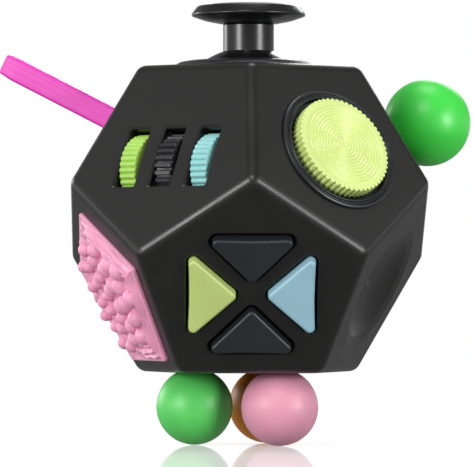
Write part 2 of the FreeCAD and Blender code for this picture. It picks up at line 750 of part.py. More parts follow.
# ---- Joystick ----------------------------------------------------------------
def joystick():
    pivot = -STICK_PIVOT_DEPTH
    centre = Vector(0.0, 0.0, pivot)
    clear = STICK_DOME_RADIUS + SIDE_GAP
    bezel = lathe([
        (0.0, 0.0, 0.0),
        (0.0, -WALL, 0.0),
        (STICK_NECK_RADIUS, -WALL, 0.0),
        (STICK_NECK_RADIUS, 0.0, 0.0),
        (STICK_BEZEL_RADIUS, 0.0, 0.0),
        (STICK_BEZEL_RADIUS, STICK_BEZEL_LIP, 0.0),
        (STICK_BEZEL_BROW_RADIUS, STICK_BEZEL_BROW_HEIGHT, 1.5 * STICK_BEZEL_HEIGHT),
        (STICK_BEZEL_CROWN_RADIUS, STICK_BEZEL_HEIGHT, 3.0 * STICK_BEZEL_HEIGHT),
        (0.0, STICK_BEZEL_HEIGHT, 0.0),
    ]).cut(Part.makeSphere(clear, centre))

    edge = math.radians(STICK_DOME_ANGLE)
    cone = Part.makeCone(
        0.0,
        2.0 * STICK_DOME_RADIUS * math.tan(edge),
        2.0 * STICK_DOME_RADIUS,
        centre,
    )
    dome = Part.makeSphere(STICK_DOME_RADIUS, centre)
    dome = dome.cut(Part.makeSphere(STICK_DOME_RADIUS - STICK_DOME_WALL, centre)).common(cone)
    stem_foot = pivot + STICK_DOME_RADIUS - STICK_DOME_WALL
    stem = rod(STICK_STEM_RADIUS, stem_foot - STICK_DOME_WALL, STICK_CAP_BASE)
    spigot = rod(STICK_STALK_RADIUS, STICK_CAP_BASE, STICK_HEIGHT - STICK_PAD_SEAT)
    stalk = rod(STICK_STALK_RADIUS, pivot - STICK_STALK_FOOT, stem_foot)
    pins = cross_rod(
        TRUNNION_RADIUS,
        Vector(0.0, -GIMBAL_OUTER + SIDE_GAP, pivot),
        Vector(0.0, GIMBAL_OUTER - SIDE_GAP, pivot),
    )
    stick = dome.fuse([stem, spigot, stalk, pins])

    cap = lathe([
        (STICK_STALK_RADIUS, STICK_CAP_BASE, 0.0),
        (STICK_STEM_RADIUS, STICK_CAP_BASE, 0.0),
        (STICK_CAP_RADIUS, STICK_CAP_RIM_HEIGHT, STICK_CAP_RIM_ROUND),
        (STICK_CAP_TOP_RADIUS, STICK_HEIGHT, STICK_CAP_TOP_ROUND),
        (STICK_PAD_RADIUS, STICK_HEIGHT, 0.0),
        (STICK_PAD_RADIUS, STICK_HEIGHT - STICK_PAD_SEAT, 0.0),
        (STICK_STALK_RADIUS, STICK_HEIGHT - STICK_PAD_SEAT, 0.0),
    ])
    pad_top = STICK_HEIGHT + STICK_PAD_PROUD
    hollow = (STICK_PAD_RADIUS ** 2 + STICK_PAD_HOLLOW ** 2) / (2.0 * STICK_PAD_HOLLOW)
    pad = rod(STICK_PAD_RADIUS, STICK_HEIGHT - STICK_PAD_SEAT, pad_top)
    pad = pad.cut(Part.makeSphere(hollow, Vector(0.0, 0.0, pad_top - STICK_PAD_HOLLOW + hollow)))

    ring = tube(GIMBAL_OUTER, GIMBAL_INNER, pivot - GIMBAL_HALF_HEIGHT, pivot + GIMBAL_HALF_HEIGHT)
    bore = cross_rod(
        TRUNNION_RADIUS + RUNNING_FIT,
        Vector(0.0, -GIMBAL_OUTER - PAST, pivot),
        Vector(0.0, GIMBAL_OUTER + PAST, pivot),
    )
    ring = ring.cut(bore)
    socket_inner = GIMBAL_OUTER + GIMBAL_ROOM
    trunnion_end = socket_inner + STICK_SOCKET_WALL
    for side in (-1.0, 1.0):
        ring = ring.fuse(cross_rod(
            TRUNNION_RADIUS,
            Vector(side * (GIMBAL_INNER + SIDE_GAP), 0.0, pivot),
            Vector(side * (trunnion_end - SIDE_GAP), 0.0, pivot),
        ))

    floor = pivot - math.hypot(STICK_STALK_FOOT, STICK_STALK_RADIUS) - SIDE_GAP
    collar = -WALL - STICK_SOCKET_COLLAR
    shoulder = pivot + GIMBAL_HALF_HEIGHT
    socket = lathe([
        (0.0, floor - STICK_DOME_WALL, 0.0),
        (socket_inner, floor - STICK_DOME_WALL, 0.0),
        (trunnion_end, pivot - GIMBAL_HALF_HEIGHT, 0.0),
        (trunnion_end + SIDE_GAP, shoulder, 0.0),
        (STICK_SOCKET_RADIUS, collar, 0.0),
        (STICK_SOCKET_RADIUS, -WALL, 0.0),
        (STICK_SOCKET_RADIUS - STICK_SOCKET_WALL, -WALL, 0.0),
        (STICK_SOCKET_RADIUS - STICK_SOCKET_WALL, collar, 0.0),
        (socket_inner, shoulder, 0.0),
        (socket_inner - GIMBAL_ROOM, floor, 0.0),
        (0.0, floor, 0.0),
    ])
    for x, y in STICK_SCREWS:
        tab = rod(POST_RADIUS + SIDE_GAP, STICK_SCREW_SEAT, STICK_SCREW_SEAT + PLATE, x, y)
        arm = block(
            (-POST_RADIUS, STICK_SOCKET_RADIUS - STICK_SOCKET_WALL, STICK_SCREW_SEAT),
            (POST_RADIUS, STICK_SCREW_CIRCLE, STICK_SCREW_SEAT + PLATE),
        )
        arm = turned_about(arm, Vector(), Vector(0.0, 0.0, 1.0), -math.degrees(math.atan2(x, y)))
        web = block(
            (-POST_RADIUS, STICK_SOCKET_RADIUS - STICK_SOCKET_WALL, STICK_SCREW_SEAT),
            (POST_RADIUS, STICK_SOCKET_RADIUS - SIDE_GAP, -WALL),
        )
        web = turned_about(web, Vector(), Vector(0.0, 0.0, 1.0), -math.degrees(math.atan2(x, y)))
        socket = socket.fuse([tab, arm, web])
        socket = socket.cut(rod(SCREW_RADIUS, -WALL - DEEP, -WALL, x, y))
    socket = socket.cut(cross_rod(
        TRUNNION_RADIUS + RUNNING_FIT,
        Vector(-STICK_SOCKET_RADIUS, 0.0, pivot),
        Vector(STICK_SOCKET_RADIUS, 0.0, pivot),
    ))

    boot_low = shoulder + GIMBAL_ROOM
    boot_top = shoulder + BOOT_HEIGHT
    boot_outer = socket_inner - REST_GAP
    boot = lathe([
        (STICK_STALK_RADIUS + REST_GAP, boot_top - 2.0 * BOOT_WALL, 0.0),
        (boot_outer - BOOT_WALL / 3.0, boot_low, 0.0),
        (boot_outer, boot_low, 0.0),
        (boot_outer, boot_low + BOOT_WALL, 0.0),
        (STICK_STALK_RADIUS + BOOT_WALL, boot_top, 0.0),
        (STICK_STALK_RADIUS + REST_GAP, boot_top, 0.0),
    ])
    return {
        "joystick_bezel": bezel,
        "joystick_stem": stick,
        "joystick_cap": cap,
        "joystick_cap_pad": pad,
        "joystick_gimbal_ring": ring,
        "joystick_socket": socket,
        "joystick_return_boot": boot,
    }


# ---- Rollers -----------------------------------------------------------------
def ribbed_outline(radius, ribs, depth, flat):
    """Wheel outline with rounded ribs, or flat-topped ones."""
    edges = []
    step = 2.0 * math.pi / ribs
    root = radius - depth

    def at(distance, angle):
        return Vector(0.0, distance * math.sin(angle), distance * math.cos(angle))

    for index in range(ribs):
        start = index * step
        if flat:
            points = [
                at(root, start),
                at(root, start + 0.35 * step),
                at(radius, start + 0.45 * step),
                at(radius, start + 0.9 * step),
                at(root, start + step),
            ]
            for first, second in zip(points, points[1:]):
                edges.append(Part.LineSegment(first, second).toShape())
        else:
            crest = at(radius, start + 0.5 * step)
            edges.append(Part.Arc(at(root, start), crest, at(root, start + step)).toShape())
    return Part.Wire(edges)


def roller(column, ribs, depth, flat):
    axle_height = ROLLER_PROUD - ROLLER_RADIUS
    wire = ribbed_outline(ROLLER_RADIUS, ribs, depth, flat)
    wheel = Part.Face(wire).extrude(Vector(ROLLER_WIDTH, 0.0, 0.0))
    wheel.translate(Vector(-ROLLER_WIDTH / 2.0, 0.0, 0.0))
    bevel = ROLLER_BEVEL
    half = ROLLER_WIDTH / 2.0
    barrel = lathe([
        (0.0, -half, 0.0),
        (ROLLER_RADIUS - bevel, -half, 0.0),
        (ROLLER_RADIUS, -half + bevel, 0.0),
        (ROLLER_RADIUS, half - bevel, 0.0),
        (ROLLER_RADIUS - bevel, half, 0.0),
        (0.0, half, 0.0),
    ])
    barrel = turned_about(barrel, Vector(), Vector(0.0, 1.0, 0.0), 90.0)
    bore = cross_rod(
        ROLLER_AXLE_RADIUS + RUNNING_FIT,
        Vector(-ROLLER_WIDTH, 0.0, 0.0),
        Vector(ROLLER_WIDTH, 0.0, 0.0),
    )
    wheel = wheel.common(barrel).cut(bore)
    return shifted(wheel, column * ROLLER_PITCH, -ROLLER_DOWN, axle_height)


def rollers():
    axle_height = ROLLER_PROUD - ROLLER_RADIUS
    window = ROLLER_RADIUS + CRADLE_ROOM
    top = CRADLE_SEAT + PLATE
    saddle = axle_height + CRADLE_SADDLE
    ring = block(
        (-CRADLE_HALF_WIDTH, -ROLLER_DOWN - window - PLATE, CRADLE_SEAT),
        (CRADLE_HALF_WIDTH, -ROLLER_DOWN + window + PLATE, top),
    )
    ring = ring.cut(block(
        (-CRADLE_HALF_WIDTH + CRADLE_RIB, -ROLLER_DOWN - window, CRADLE_SEAT - PAST),
        (CRADLE_HALF_WIDTH - CRADLE_RIB, -ROLLER_DOWN + window, top + PAST),
    ))
    pieces = []
    outer = CRADLE_HALF_WIDTH - CRADLE_RIB / 2.0
    for middle in (-outer, -ROLLER_PITCH / 2.0, ROLLER_PITCH / 2.0, outer):
        pieces.append(block(
            (middle - CRADLE_RIB / 2.0, -ROLLER_DOWN - window - PLATE, CRADLE_SEAT),
            (middle + CRADLE_RIB / 2.0, -ROLLER_DOWN + window + PLATE, saddle),
        ))
    for x, y in CRADLE_SCREWS:
        pieces.append(rod(POST_RADIUS + CRADLE_EAR, CRADLE_SEAT, top, x, y))
        edge_y = -ROLLER_DOWN + (window if y > 0.0 else -window - PLATE)
        low_y, high_y = sorted((y, edge_y))
        pieces.append(block(
            (x - POST_RADIUS, low_y, CRADLE_SEAT),
            (x + POST_RADIUS, high_y, top),
        ))
    room = turned_about(face_room(CRADLE_SHARE), Vector(), Vector(0.0, 0.0, 1.0), 180.0)
    cradle = ring.fuse(pieces).common(room)
    cradle = cradle.cut(cross_rod(
        ROLLER_AXLE_RADIUS,
        Vector(-2.0 * CRADLE_HALF_WIDTH, -ROLLER_DOWN, axle_height),
        Vector(2.0 * CRADLE_HALF_WIDTH, -ROLLER_DOWN, axle_height),
    ))
    for x, y in CRADLE_SCREWS:
        cradle = cradle.cut(rod(SCREW_RADIUS, CRADLE_SEAT - PAST, top + PAST, x, y))
    axle = cross_rod(
        ROLLER_AXLE_RADIUS,
        Vector(-CRADLE_HALF_WIDTH, -ROLLER_DOWN, axle_height),
        Vector(CRADLE_HALF_WIDTH, -ROLLER_DOWN, axle_height),
    )
    return {
        "roller_green": roller(-1, ROLLER_RIBS, ROLLER_RIB_DEPTH, False),
        "roller_black": roller(0, BLACK_ROLLER_RIBS, BLACK_ROLLER_RIB_DEPTH, True),
        "roller_blue": roller(1, ROLLER_RIBS, ROLLER_RIB_DEPTH, False),
        "roller_axle": axle,
        "roller_cradle": cradle,
    }


# ---- Dial --------------------------------------------------------------------
def dial():
    floor_top = -DIAL_WELL_DEPTH
    floor_low = floor_top - DIAL_FLOOR
    bezel = lathe([
        (DIAL_SHAFT_RADIUS + RUNNING_FIT, floor_top, 0.0),
        (DIAL_SHAFT_RADIUS + RUNNING_FIT, floor_low, 0.0),
        (DIAL_NECK_RADIUS, floor_low, 0.0),
        (DIAL_NECK_RADIUS, 0.0, 0.0),
        (DIAL_BEZEL_RADIUS, 0.0, 0.0),
        (DIAL_BEZEL_RADIUS, DIAL_BEZEL_HEIGHT, 0.3),
        (DIAL_WELL_RADIUS, DIAL_BEZEL_HEIGHT, 0.2),
        (DIAL_WELL_RADIUS, floor_top, 0.0),
    ])
    disc_low = floor_top + SIDE_GAP
    teeth = []
    step = 2.0 * math.pi / DIAL_TEETH
    root = DIAL_RADIUS - DIAL_TOOTH_DEPTH

    def at(distance, angle):
        return Vector(distance * math.sin(angle), distance * math.cos(angle), disc_low)

    for index in range(DIAL_TEETH):
        start = index * step
        crest = at(DIAL_RADIUS, start + 0.5 * step)
        teeth.append(Part.Arc(at(root, start), crest, at(root, start + step)).toShape())
    disc = Part.Face(Part.Wire(teeth)).extrude(Vector(0.0, 0.0, DIAL_PROUD - disc_low))

    profile = [
        (0.0, disc_low, 0.0),
        (DIAL_RADIUS, disc_low, 0.0),
        (DIAL_RADIUS, DIAL_PROUD - DIAL_BEVEL, 0.0),
        (DIAL_RADIUS - DIAL_BEVEL, DIAL_PROUD, 0.0),
    ]
    pitch = (DIAL_RING_EDGE - DIAL_RING_CENTRE) / DIAL_RINGS
    for index in range(DIAL_RINGS):
        outer = DIAL_RING_EDGE - index * pitch
        profile.append((outer, DIAL_PROUD, 0.0))
        profile.append((outer - pitch / 2.0, DIAL_PROUD - DIAL_RING_DEPTH, 0.0))
    profile.append((DIAL_RING_CENTRE, DIAL_PROUD, 0.0))
    profile.append((0.0, DIAL_PROUD, 0.0))
    disc = disc.common(lathe(profile))

    retainer_top = floor_low - REST_GAP
    retainer_low = retainer_top - DIAL_RETAINER_THICK
    shaft = rod(DIAL_SHAFT_RADIUS, retainer_low, disc_low)
    bite = rod(SCREW_RADIUS, retainer_low - PAST, retainer_low + SCREW_BITE)
    retainer = tube(DIAL_RETAINER_RADIUS, DIAL_SHAFT_RADIUS, retainer_low, retainer_top)
    washer = tube(
        DIAL_SHAFT_RADIUS + DIAL_WASHER_GROW,
        SCREW_RADIUS,
        retainer_low - DIAL_WASHER_THICK,
        retainer_low,
    )
    return {
        "dial_bezel": bezel,
        "dial_disc": disc.fuse(shaft).cut(bite),
        "dial_retainer": retainer,
        "dial_screw": screw(0.0, 0.0, retainer_low).fuse(washer),
    }


# ---- Buttons -----------------------------------------------------------------
def buttons():
    corners = button_outline()
    flange_top = -WALL - REST_GAP
    flange_low = flange_top - BUTTON_FLANGE_THICK
    cap = prism(corners, flange_top, BUTTON_PROUD - BUTTON_TOP_BREAK)
    rounding = tapered(
        corners, BUTTON_PROUD - BUTTON_TOP_BREAK, BUTTON_PROUD, BUTTON_TOP_BREAK,
    )
    flange = prism(grown(corners, BUTTON_FLANGE_GROW), flange_low, flange_top)
    button = cap.fuse([rounding, flange])
    spot = (BUTTON_APEX + 2.0 * BUTTON_BASE) / 3.0
    top = flange_low - REST_GAP
    dome = lathe([
        (BUTTON_DOME_RADIUS, BUTTON_PLATE_TOP, 0.0),
        (BUTTON_DOME_TOP_RADIUS, top, 0.0),
        (0.0, top, 0.0),
        (0.0, top - BUTTON_DOME_WALL, 0.0),
        (BUTTON_DOME_TOP_RADIUS - BUTTON_DOME_WALL, top - BUTTON_DOME_WALL, 0.0),
        (BUTTON_DOME_RADIUS - BUTTON_DOME_WALL, BUTTON_PLATE_TOP, 0.0),
    ])
    dome = shifted(dome, y=spot)
    pieces = {}
    for name in BUTTONS:
        pieces["button_" + name] = at_button(button, name)
        pieces["button_dome_" + name] = at_button(dome, name)
    plate = rod(BUTTON_PLATE_RADIUS, BUTTON_PLATE_TOP - PLATE, BUTTON_PLATE_TOP)
    hole = rod(SCREW_RADIUS, BUTTON_PLATE_TOP - DEEP, BUTTON_PLATE_TOP)
    pieces["button_backplate"] = plate.cut(hole)
    return pieces


# ---- Bumpy pad ---------------------------------------------------------------
def pad_bumps():
    """Where the bumps stand: (x, y, radius) on an even spiral, sizes mixed."""
    bumps = []
    for index in range(PAD_BUMPS):
        distance = PAD_BUMP_FIELD * math.sqrt((index + 0.5) / PAD_BUMPS)
        x, y = polar(distance, index * GOLDEN_ANGLE)
        mix = 0.5 + 0.5 * math.sin(2.4 * index)
        bumps.append((x, y, PAD_BUMP_SMALL + mix * (PAD_BUMP_LARGE - PAD_BUMP_SMALL)))
    return bumps


def texture_pad():
    shoulder = PAD_PROUD - PAD_BREAK
    plate = prism(pad_outline(), -PAD_RECESS, shoulder)
    edge = tapered(pad_outline(), shoulder, PAD_PROUD, PAD_BREAK)
    plugs = []
    for index in range(5):
        x, y = polar(PAD_PLUG_CIRCLE, 72.0 * index)
        plugs.append(rod(PAD_PLUG_RADIUS, -WALL - PAD_PROUD, -PAD_RECESS, x, y))
    below = rod(PAD_SIZE, -DEEP, 0.0)
    domes = []
    for x, y, radius in pad_bumps():
        ball = Part.makeSphere(radius, Vector(x, y, PAD_PROUD))
        domes.append(ball.cut(below))
    return {"texture_pad": plate.fuse([edge] + plugs + domes)}


# ---- Strap -------------------------------------------------------------------
def strap():
    low = STRAP_STUB + SIDE_GAP
    half = STRAP_HEIGHT / 2.0
    corners = rectangle(STRAP_WIDTH / 2.0, half, STRAP_CORNER, 0.0, STRAP_UP)
    tail = prism(corners, low + half, STRAP_LENGTH)
    knuckle = cross_rod(
        half,
        Vector(-STRAP_WIDTH / 2.0, STRAP_UP, low + half),
        Vector(STRAP_WIDTH / 2.0, STRAP_UP, low + half),
    )
    foot = prism(
        rectangle(STRAP_FOOT_WIDTH / 2.0, STRAP_FOOT_HEIGHT / 2.0, STRAP_CORNER, 0.0, STRAP_UP),
        STRAP_CLAMP_TOP,
        -WALL,
    )
    neck = prism(corners, -WALL, STRAP_STUB)
    plate = prism(
        rectangle(
            STRAP_SCREW_SPREAD + POST_RADIUS,
            STRAP_FOOT_HEIGHT / 2.0,
            2.0 * STRAP_CORNER,
            0.0,
            STRAP_UP,
        ),
        STRAP_CLAMP_TOP - PLATE,
        STRAP_CLAMP_TOP,
    )
    for x, y in STRAP_SCREWS:
        plate = plate.cut(rod(SCREW_RADIUS, STRAP_CLAMP_TOP - DEEP, STRAP_CLAMP_TOP, x, y))
        foot = foot.cut(rod(POST_RADIUS + REST_GAP, STRAP_CLAMP_TOP - PAST, 0.0, x, y))
    return {
        "strap_tail": tail.fuse(knuckle),
        "strap_anchor": foot.fuse(neck),
        "strap_clamp": plate,
    }


# ---- Balls -------------------------------------------------------------------
def sprung_ball(radius, height, stem, seat, floor):
    """Ball on a stem, the stop ring under its seat and the sleeve below that."""
    stop_top = seat - REST_GAP
    stop_low = stop_top - BALL_STOP_THICK
    stem_end = stop_low - BALL_STEM_TAIL
    ball = Part.makeSphere(radius, Vector(0.0, 0.0, height))
    ball = ball.fuse(rod(stem, stem_end, height))
    stop = tube(stem + BALL_STOP_GROW, stem, stop_low, stop_top)
    inner = stem + SLEEVE_ROOM
    sleeve = tube(inner + SLEEVE_WALL, inner, floor, stop_low - REST_GAP)
    return ball, stop, sleeve


def side_ball():
    seat = -2.0 * WALL
    floor = -SIDE_HOUSING_DEPTH + PLATE
    ball, stop, sleeve = sprung_ball(
        SIDE_BALL_RADIUS, SIDE_BALL_HEIGHT, SIDE_BALL_NECK, seat, floor,
    )
    inner = SIDE_HOUSING_RADIUS - PLATE
    housing = rod(SIDE_HOUSING_RADIUS, -SIDE_HOUSING_DEPTH, -WALL).cut(rod(inner, floor, -WALL))
    for x, y in SIDE_HOUSING_SCREWS:
        tab = rod(POST_RADIUS + SIDE_GAP, STICK_SCREW_SEAT, STICK_SCREW_SEAT + PLATE, x, y)
        tab = tab.cut(rod(inner, floor, -WALL))
        housing = housing.fuse(tab).cut(rod(SCREW_RADIUS, -DEEP, -WALL, x, y))
        room = POST_RADIUS + RUNNING_FIT
        housing = housing.cut(rod(room, STICK_SCREW_SEAT + PLATE, -WALL, x, y))
    return {
        "side_ball": ball,
        "side_ball_stop": stop,
        "side_ball_sleeve": sleeve,
        "side_ball_housing": housing,
    }


def foot_balls():
    ball, stop, sleeve = sprung_ball(
        FOOT_BALL_RADIUS, FOOT_BALL_HEIGHT, FOOT_BALL_STEM, -FOOT_BOSS_DEPTH, -FOOT_PLATE_DEPTH,
    )
    pieces = {}
    for name, (x, y) in FOOT_BALLS.items():
        pieces["foot_ball_" + name] = shifted(ball, x, y)
        pieces["foot_ball_stop_" + name] = shifted(stop, x, y)
        pieces["foot_ball_sleeve_" + name] = shifted(sleeve, x, y)
    plate = rod(FOOT_PLATE_HUB, -FOOT_PLATE_DEPTH - PLATE, -FOOT_PLATE_DEPTH)
    reach = FOOT_PLATE_RADIUS - FOOT_BALL_CIRCLE
    for x, y in FOOT_BALLS.values():
        plate = plate.fuse(rod(reach, -FOOT_PLATE_DEPTH - PLATE, -FOOT_PLATE_DEPTH, x, y))
        arm = block(
            (-reach * FOOT_ARM_SHARE, 0.0, -FOOT_PLATE_DEPTH - PLATE),
            (reach * FOOT_ARM_SHARE, FOOT_BALL_CIRCLE, -FOOT_PLATE_DEPTH),
        )
        turn = -math.degrees(math.atan2(x, y))
        plate = plate.fuse(turned_about(arm, Vector(), Vector(0.0, 0.0, 1.0), turn))
    hole = rod(SCREW_RADIUS, -FOOT_PLATE_DEPTH - DEEP, -FOOT_PLATE_DEPTH)
    pieces["foot_ball_plate"] = plate.cut(hole)
    return pieces


# ---- Rocker ------------------------------------------------------------------
def rocker():
    pivot = Vector(0.0, 0.0, -ROCKER_PIVOT_DEPTH)
    flange = prism(rocker_outline(ROCKER_FRAME_WALL + ROCKER_FRAME_FLANGE), 0.0, ROCKER_FRAME_HEIGHT)
    neck = prism(rocker_outline(ROCKER_FRAME_WALL), -ROCKER_NECK_DEPTH, 0.0)
    hole = prism(rocker_outline(0.0), -ROCKER_NECK_DEPTH - PAST, ROCKER_FRAME_HEIGHT + PAST)
    half_span = ROCKER_WIDTH / 2.0 + SIDE_GAP + ROCKER_FRAME_WALL
    pin = cross_rod(
        ROCKER_PIN_RADIUS,
        pivot - Vector(half_span - REST_GAP, 0.0, 0.0),
        pivot + Vector(half_span - REST_GAP, 0.0, 0.0),
    )
    half = ROCKER_LENGTH / 2.0
    profile = [
        (-half, ROCKER_ENDS, ROCKER_END_ROUND),
        (0.0, ROCKER_MIDDLE, 0.0),
        (half, ROCKER_ENDS, ROCKER_END_ROUND),
        (half - ROCKER_END_DRAFT, -WALL, ROCKER_HEEL_ROUND),
        (0.0, -ROCKER_KEEL, 0.0),
        (ROCKER_END_DRAFT - half, -WALL, ROCKER_HEEL_ROUND),
    ]
    wire = outline(profile, lambda p: Vector(-ROCKER_WIDTH / 2.0, p.x, p.y))
    paddle = Part.Face(wire).extrude(Vector(ROCKER_WIDTH, 0.0, 0.0))
    paddle = turned_about(paddle, pivot, Vector(1.0, 0.0, 0.0), ROCKER_TILT)
    bore = cross_rod(
        ROCKER_PIN_RADIUS + RUNNING_FIT,
        pivot - Vector(ROCKER_WIDTH, 0.0, 0.0),
        pivot + Vector(ROCKER_WIDTH, 0.0, 0.0),
    )
    return {
        "rocker_frame": flange.fuse(neck).cut(hole).cut(pin),
        "rocker_paddle": paddle.cut(bore),
        "rocker_pin": pin,
    }


# ---- Spinner -----------------------------------------------------------------
def spinner():
    low = SPINNER_LIFT
    high = low + SPINNER_THICK
    rotor = rod(SPINNER_HUB_RADIUS, low, high)
    weights = []
    step = ROUND / SPINNER_LOBES
    for index in range(SPINNER_LOBES):
        x, y = polar(SPINNER_LOBE_CIRCLE, step * index)
        rotor = rotor.fuse(rod(SPINNER_LOBE_RADIUS, low, high, x, y))
        weights.append(rod(SPINNER_WEIGHT_RADIUS, low, high, x, y))
    rotor = rotor.cut(rod(SPINNER_BEARING_RADIUS, 0.0, DEEP)).cut(Part.makeCompound(weights))
    axle = rod(SPINNER_AXLE_RADIUS, -WALL, high + SIDE_GAP)
    axle = axle.fuse(rod(SPINNER_FLANGE_RADIUS, -WALL - SPINNER_FLANGE_THICK, -WALL))
    axle = axle.fuse(rod(SPINNER_AXLE_RADIUS + SPINNER_STEP, 0.0, low - SIDE_GAP))
    cap_low = high + SIDE_GAP
    cap = lathe([
        (0.0, cap_low, 0.0),
        (SPINNER_CAP_RADIUS, cap_low, 0.0),
        (SPINNER_CAP_RADIUS, cap_low + SPINNER_CAP_THICK, SPINNER_CAP_ROUND),
        (0.0, cap_low + SPINNER_CAP_THICK, 0.0),
    ])
    bearing = tube(SPINNER_BEARING_RADIUS, SPINNER_AXLE_RADIUS + RUNNING_FIT, low, high)
    return {
        "spinner_rotor": rotor,
        "spinner_weights": Part.makeCompound(weights),
        "spinner_bearing": bearing,
        "spinner_axle": axle,
        "spinner_cap": cap,
    }


# ---- Slider ------------------------------------------------------------------
def slider():
    slot = slider_slot()
    flange = prism(grown(slot, SLIDER_TRACK_MARGIN), 0.0, SLIDER_TRACK_HEIGHT)
    neck = prism(grown(slot, SLIDER_TRACK_WALL), -WALL, 0.0)
    track = flange.fuse(neck).cut(prism(slot, -WALL - PAST, SLIDER_TRACK_HEIGHT + PAST))
    half_x = SLIDER_NECK_LENGTH / 2.0
    half_y = SLIDER_NECK_WIDTH / 2.0
    foot_top = -WALL - REST_GAP
    rim = SLIDER_KNOB_RADIUS - SLIDER_KNOB_SLOPE
    knob = lathe([
        (0.0, SLIDER_KNOB_LIFT, 0.0),
        (SLIDER_KNOB_RADIUS, SLIDER_KNOB_LIFT, SLIDER_KNOB_ROUND),
        (rim, SLIDER_KNOB_HEIGHT, 2.0 * SLIDER_KNOB_ROUND),
        (rim - SLIDER_KNOB_RIM, SLIDER_KNOB_HEIGHT - SLIDER_KNOB_DIP, SLIDER_KNOB_ROUND),
        (0.0, SLIDER_KNOB_HEIGHT - SLIDER_KNOB_DIP, 0.0),
    ])
    stalk = prism(rectangle(half_x, half_y, half_y - 0.01), foot_top, SLIDER_KNOB_LIFT)
    foot = prism(
        rectangle(half_x + SLIDER_FOOT_GROW, half_y + SLIDER_FOOT_GROW, SLIDER_TRACK_WALL),
        foot_top - SLIDER_FOOT_THICK,
        foot_top,
    )
    return {
        "slider_track": track,
        "slider_knob": knob.fuse(stalk),
        "slider_foot": foot,
    }


# ---- Screws that hold the inner plates ---------------------------------------
def module_screws():
    screws = []
    for x, y in STICK_SCREWS:
        screws.append(placed(screw(x, y, STICK_SCREW_SEAT), "joystick"))
    for x, y in CRADLE_SCREWS:
        screws.append(placed(screw(x, y, CRADLE_SEAT), "rollers"))
    screws.append(placed(screw(0.0, 0.0, BUTTON_PLATE_TOP - PLATE), "buttons"))
    for x, y in STRAP_SCREWS:
        screws.append(placed(screw(x, y, STRAP_CLAMP_TOP - PLATE), "strap"))
    for x, y in SIDE_HOUSING_SCREWS:
        screws.append(placed(screw(x, y, STICK_SCREW_SEAT), "side_ball"))
    screws.append(placed(screw(0.0, 0.0, -FOOT_PLATE_DEPTH - PLATE), "feet"))
    return Part.makeCompound(screws)


def all_pieces():
    """Every piece, by node name, in the frame of the whole toy."""
    modules = {
        "joystick": joystick(),
        "rollers": rollers(),
        "dial": dial(),
        "buttons": buttons(),
        "pad": texture_pad(),
        "strap": strap(),
        "side_ball": side_ball(),
        "feet": foot_balls(),
        "rocker": rocker(),
        "spinner": spinner(),
        "slider": slider(),
    }
    pieces = shells()
    for face, made in modules.items():
        for name, shape in made.items():
            if len(shape.Solids) == 1:
                shape = single(shape)
            pieces[name] = placed(shape, face)
    pieces["module_screws"] = module_screws()
    return pieces


def main():
    os.makedirs("parts", exist_ok=True)
    for name, shape in all_pieces().items():
        if not shape.isValid():
            print("not valid:", name)
        print(name, len(shape.Solids), round(shape.Volume, 2))
        shape.exportStep("parts/" + name + ".step")


main()
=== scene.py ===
import json
import math

import bmesh
import bpy
import numpy as np
from mathutils import Matrix, Vector, noise


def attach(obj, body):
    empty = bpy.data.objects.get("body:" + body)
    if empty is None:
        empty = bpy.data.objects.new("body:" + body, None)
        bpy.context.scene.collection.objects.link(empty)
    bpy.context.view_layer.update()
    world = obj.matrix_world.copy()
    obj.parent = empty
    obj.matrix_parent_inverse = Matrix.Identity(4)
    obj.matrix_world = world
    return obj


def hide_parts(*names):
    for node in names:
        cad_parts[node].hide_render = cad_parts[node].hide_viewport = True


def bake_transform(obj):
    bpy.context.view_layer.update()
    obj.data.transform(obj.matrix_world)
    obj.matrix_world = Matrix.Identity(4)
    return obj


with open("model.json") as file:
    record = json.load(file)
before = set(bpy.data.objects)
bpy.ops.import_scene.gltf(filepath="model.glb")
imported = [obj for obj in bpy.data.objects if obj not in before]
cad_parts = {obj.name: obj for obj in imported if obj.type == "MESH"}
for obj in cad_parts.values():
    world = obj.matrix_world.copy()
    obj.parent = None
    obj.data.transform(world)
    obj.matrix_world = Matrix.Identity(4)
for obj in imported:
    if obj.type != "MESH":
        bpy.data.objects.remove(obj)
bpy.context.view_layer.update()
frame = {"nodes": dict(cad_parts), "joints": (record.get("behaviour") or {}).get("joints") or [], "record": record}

# The looks of a twelve-sided desk fidget toy, in metres. Each face of the
# casing has its own frame: x to the right as seen from outside, y up the
# slope, z outward, with z = 0 on the face. Pieces are drawn in that frame.

MM = 0.001
MERGE = 0.001 * MM
EDGE = 21.0 * MM
INRADIUS = EDGE * math.sqrt(250.0 + 110.0 * math.sqrt(5.0)) / 20.0
SLOPE = math.atan(0.5)
PIVOT_DEPTH = 9.1 * MM
JOINTS = {joint["name"]: joint for joint in frame["joints"]}
PIVOT = Vector(JOINTS["joystick_tilt_side"]["pos_m"])
CENTRE = PIVOT + Vector((0.0, 0.0, PIVOT_DEPTH - INRADIUS))
GOLDEN_ANGLE = math.radians(137.507764)


def face_frame(azimuth, slope, aside=0.0, up_slope=0.0):
    """The frame of the face whose normal looks this way, as a matrix; a piece
    that sits off the middle of its face gives its shift in millimetres."""
    turn = math.radians(azimuth)
    normal = Vector((
        math.sin(turn) * math.cos(slope),
        -math.cos(turn) * math.cos(slope),
        math.sin(slope),
    ))
    right = Vector((math.cos(turn), math.sin(turn), 0.0))
    up = normal.cross(right)
    placed = Matrix((right, up, normal)).transposed().to_4x4()
    placed.translation = (
        CENTRE + normal * INRADIUS + right * (aside * MM) + up * (up_slope * MM)
    )
    return placed


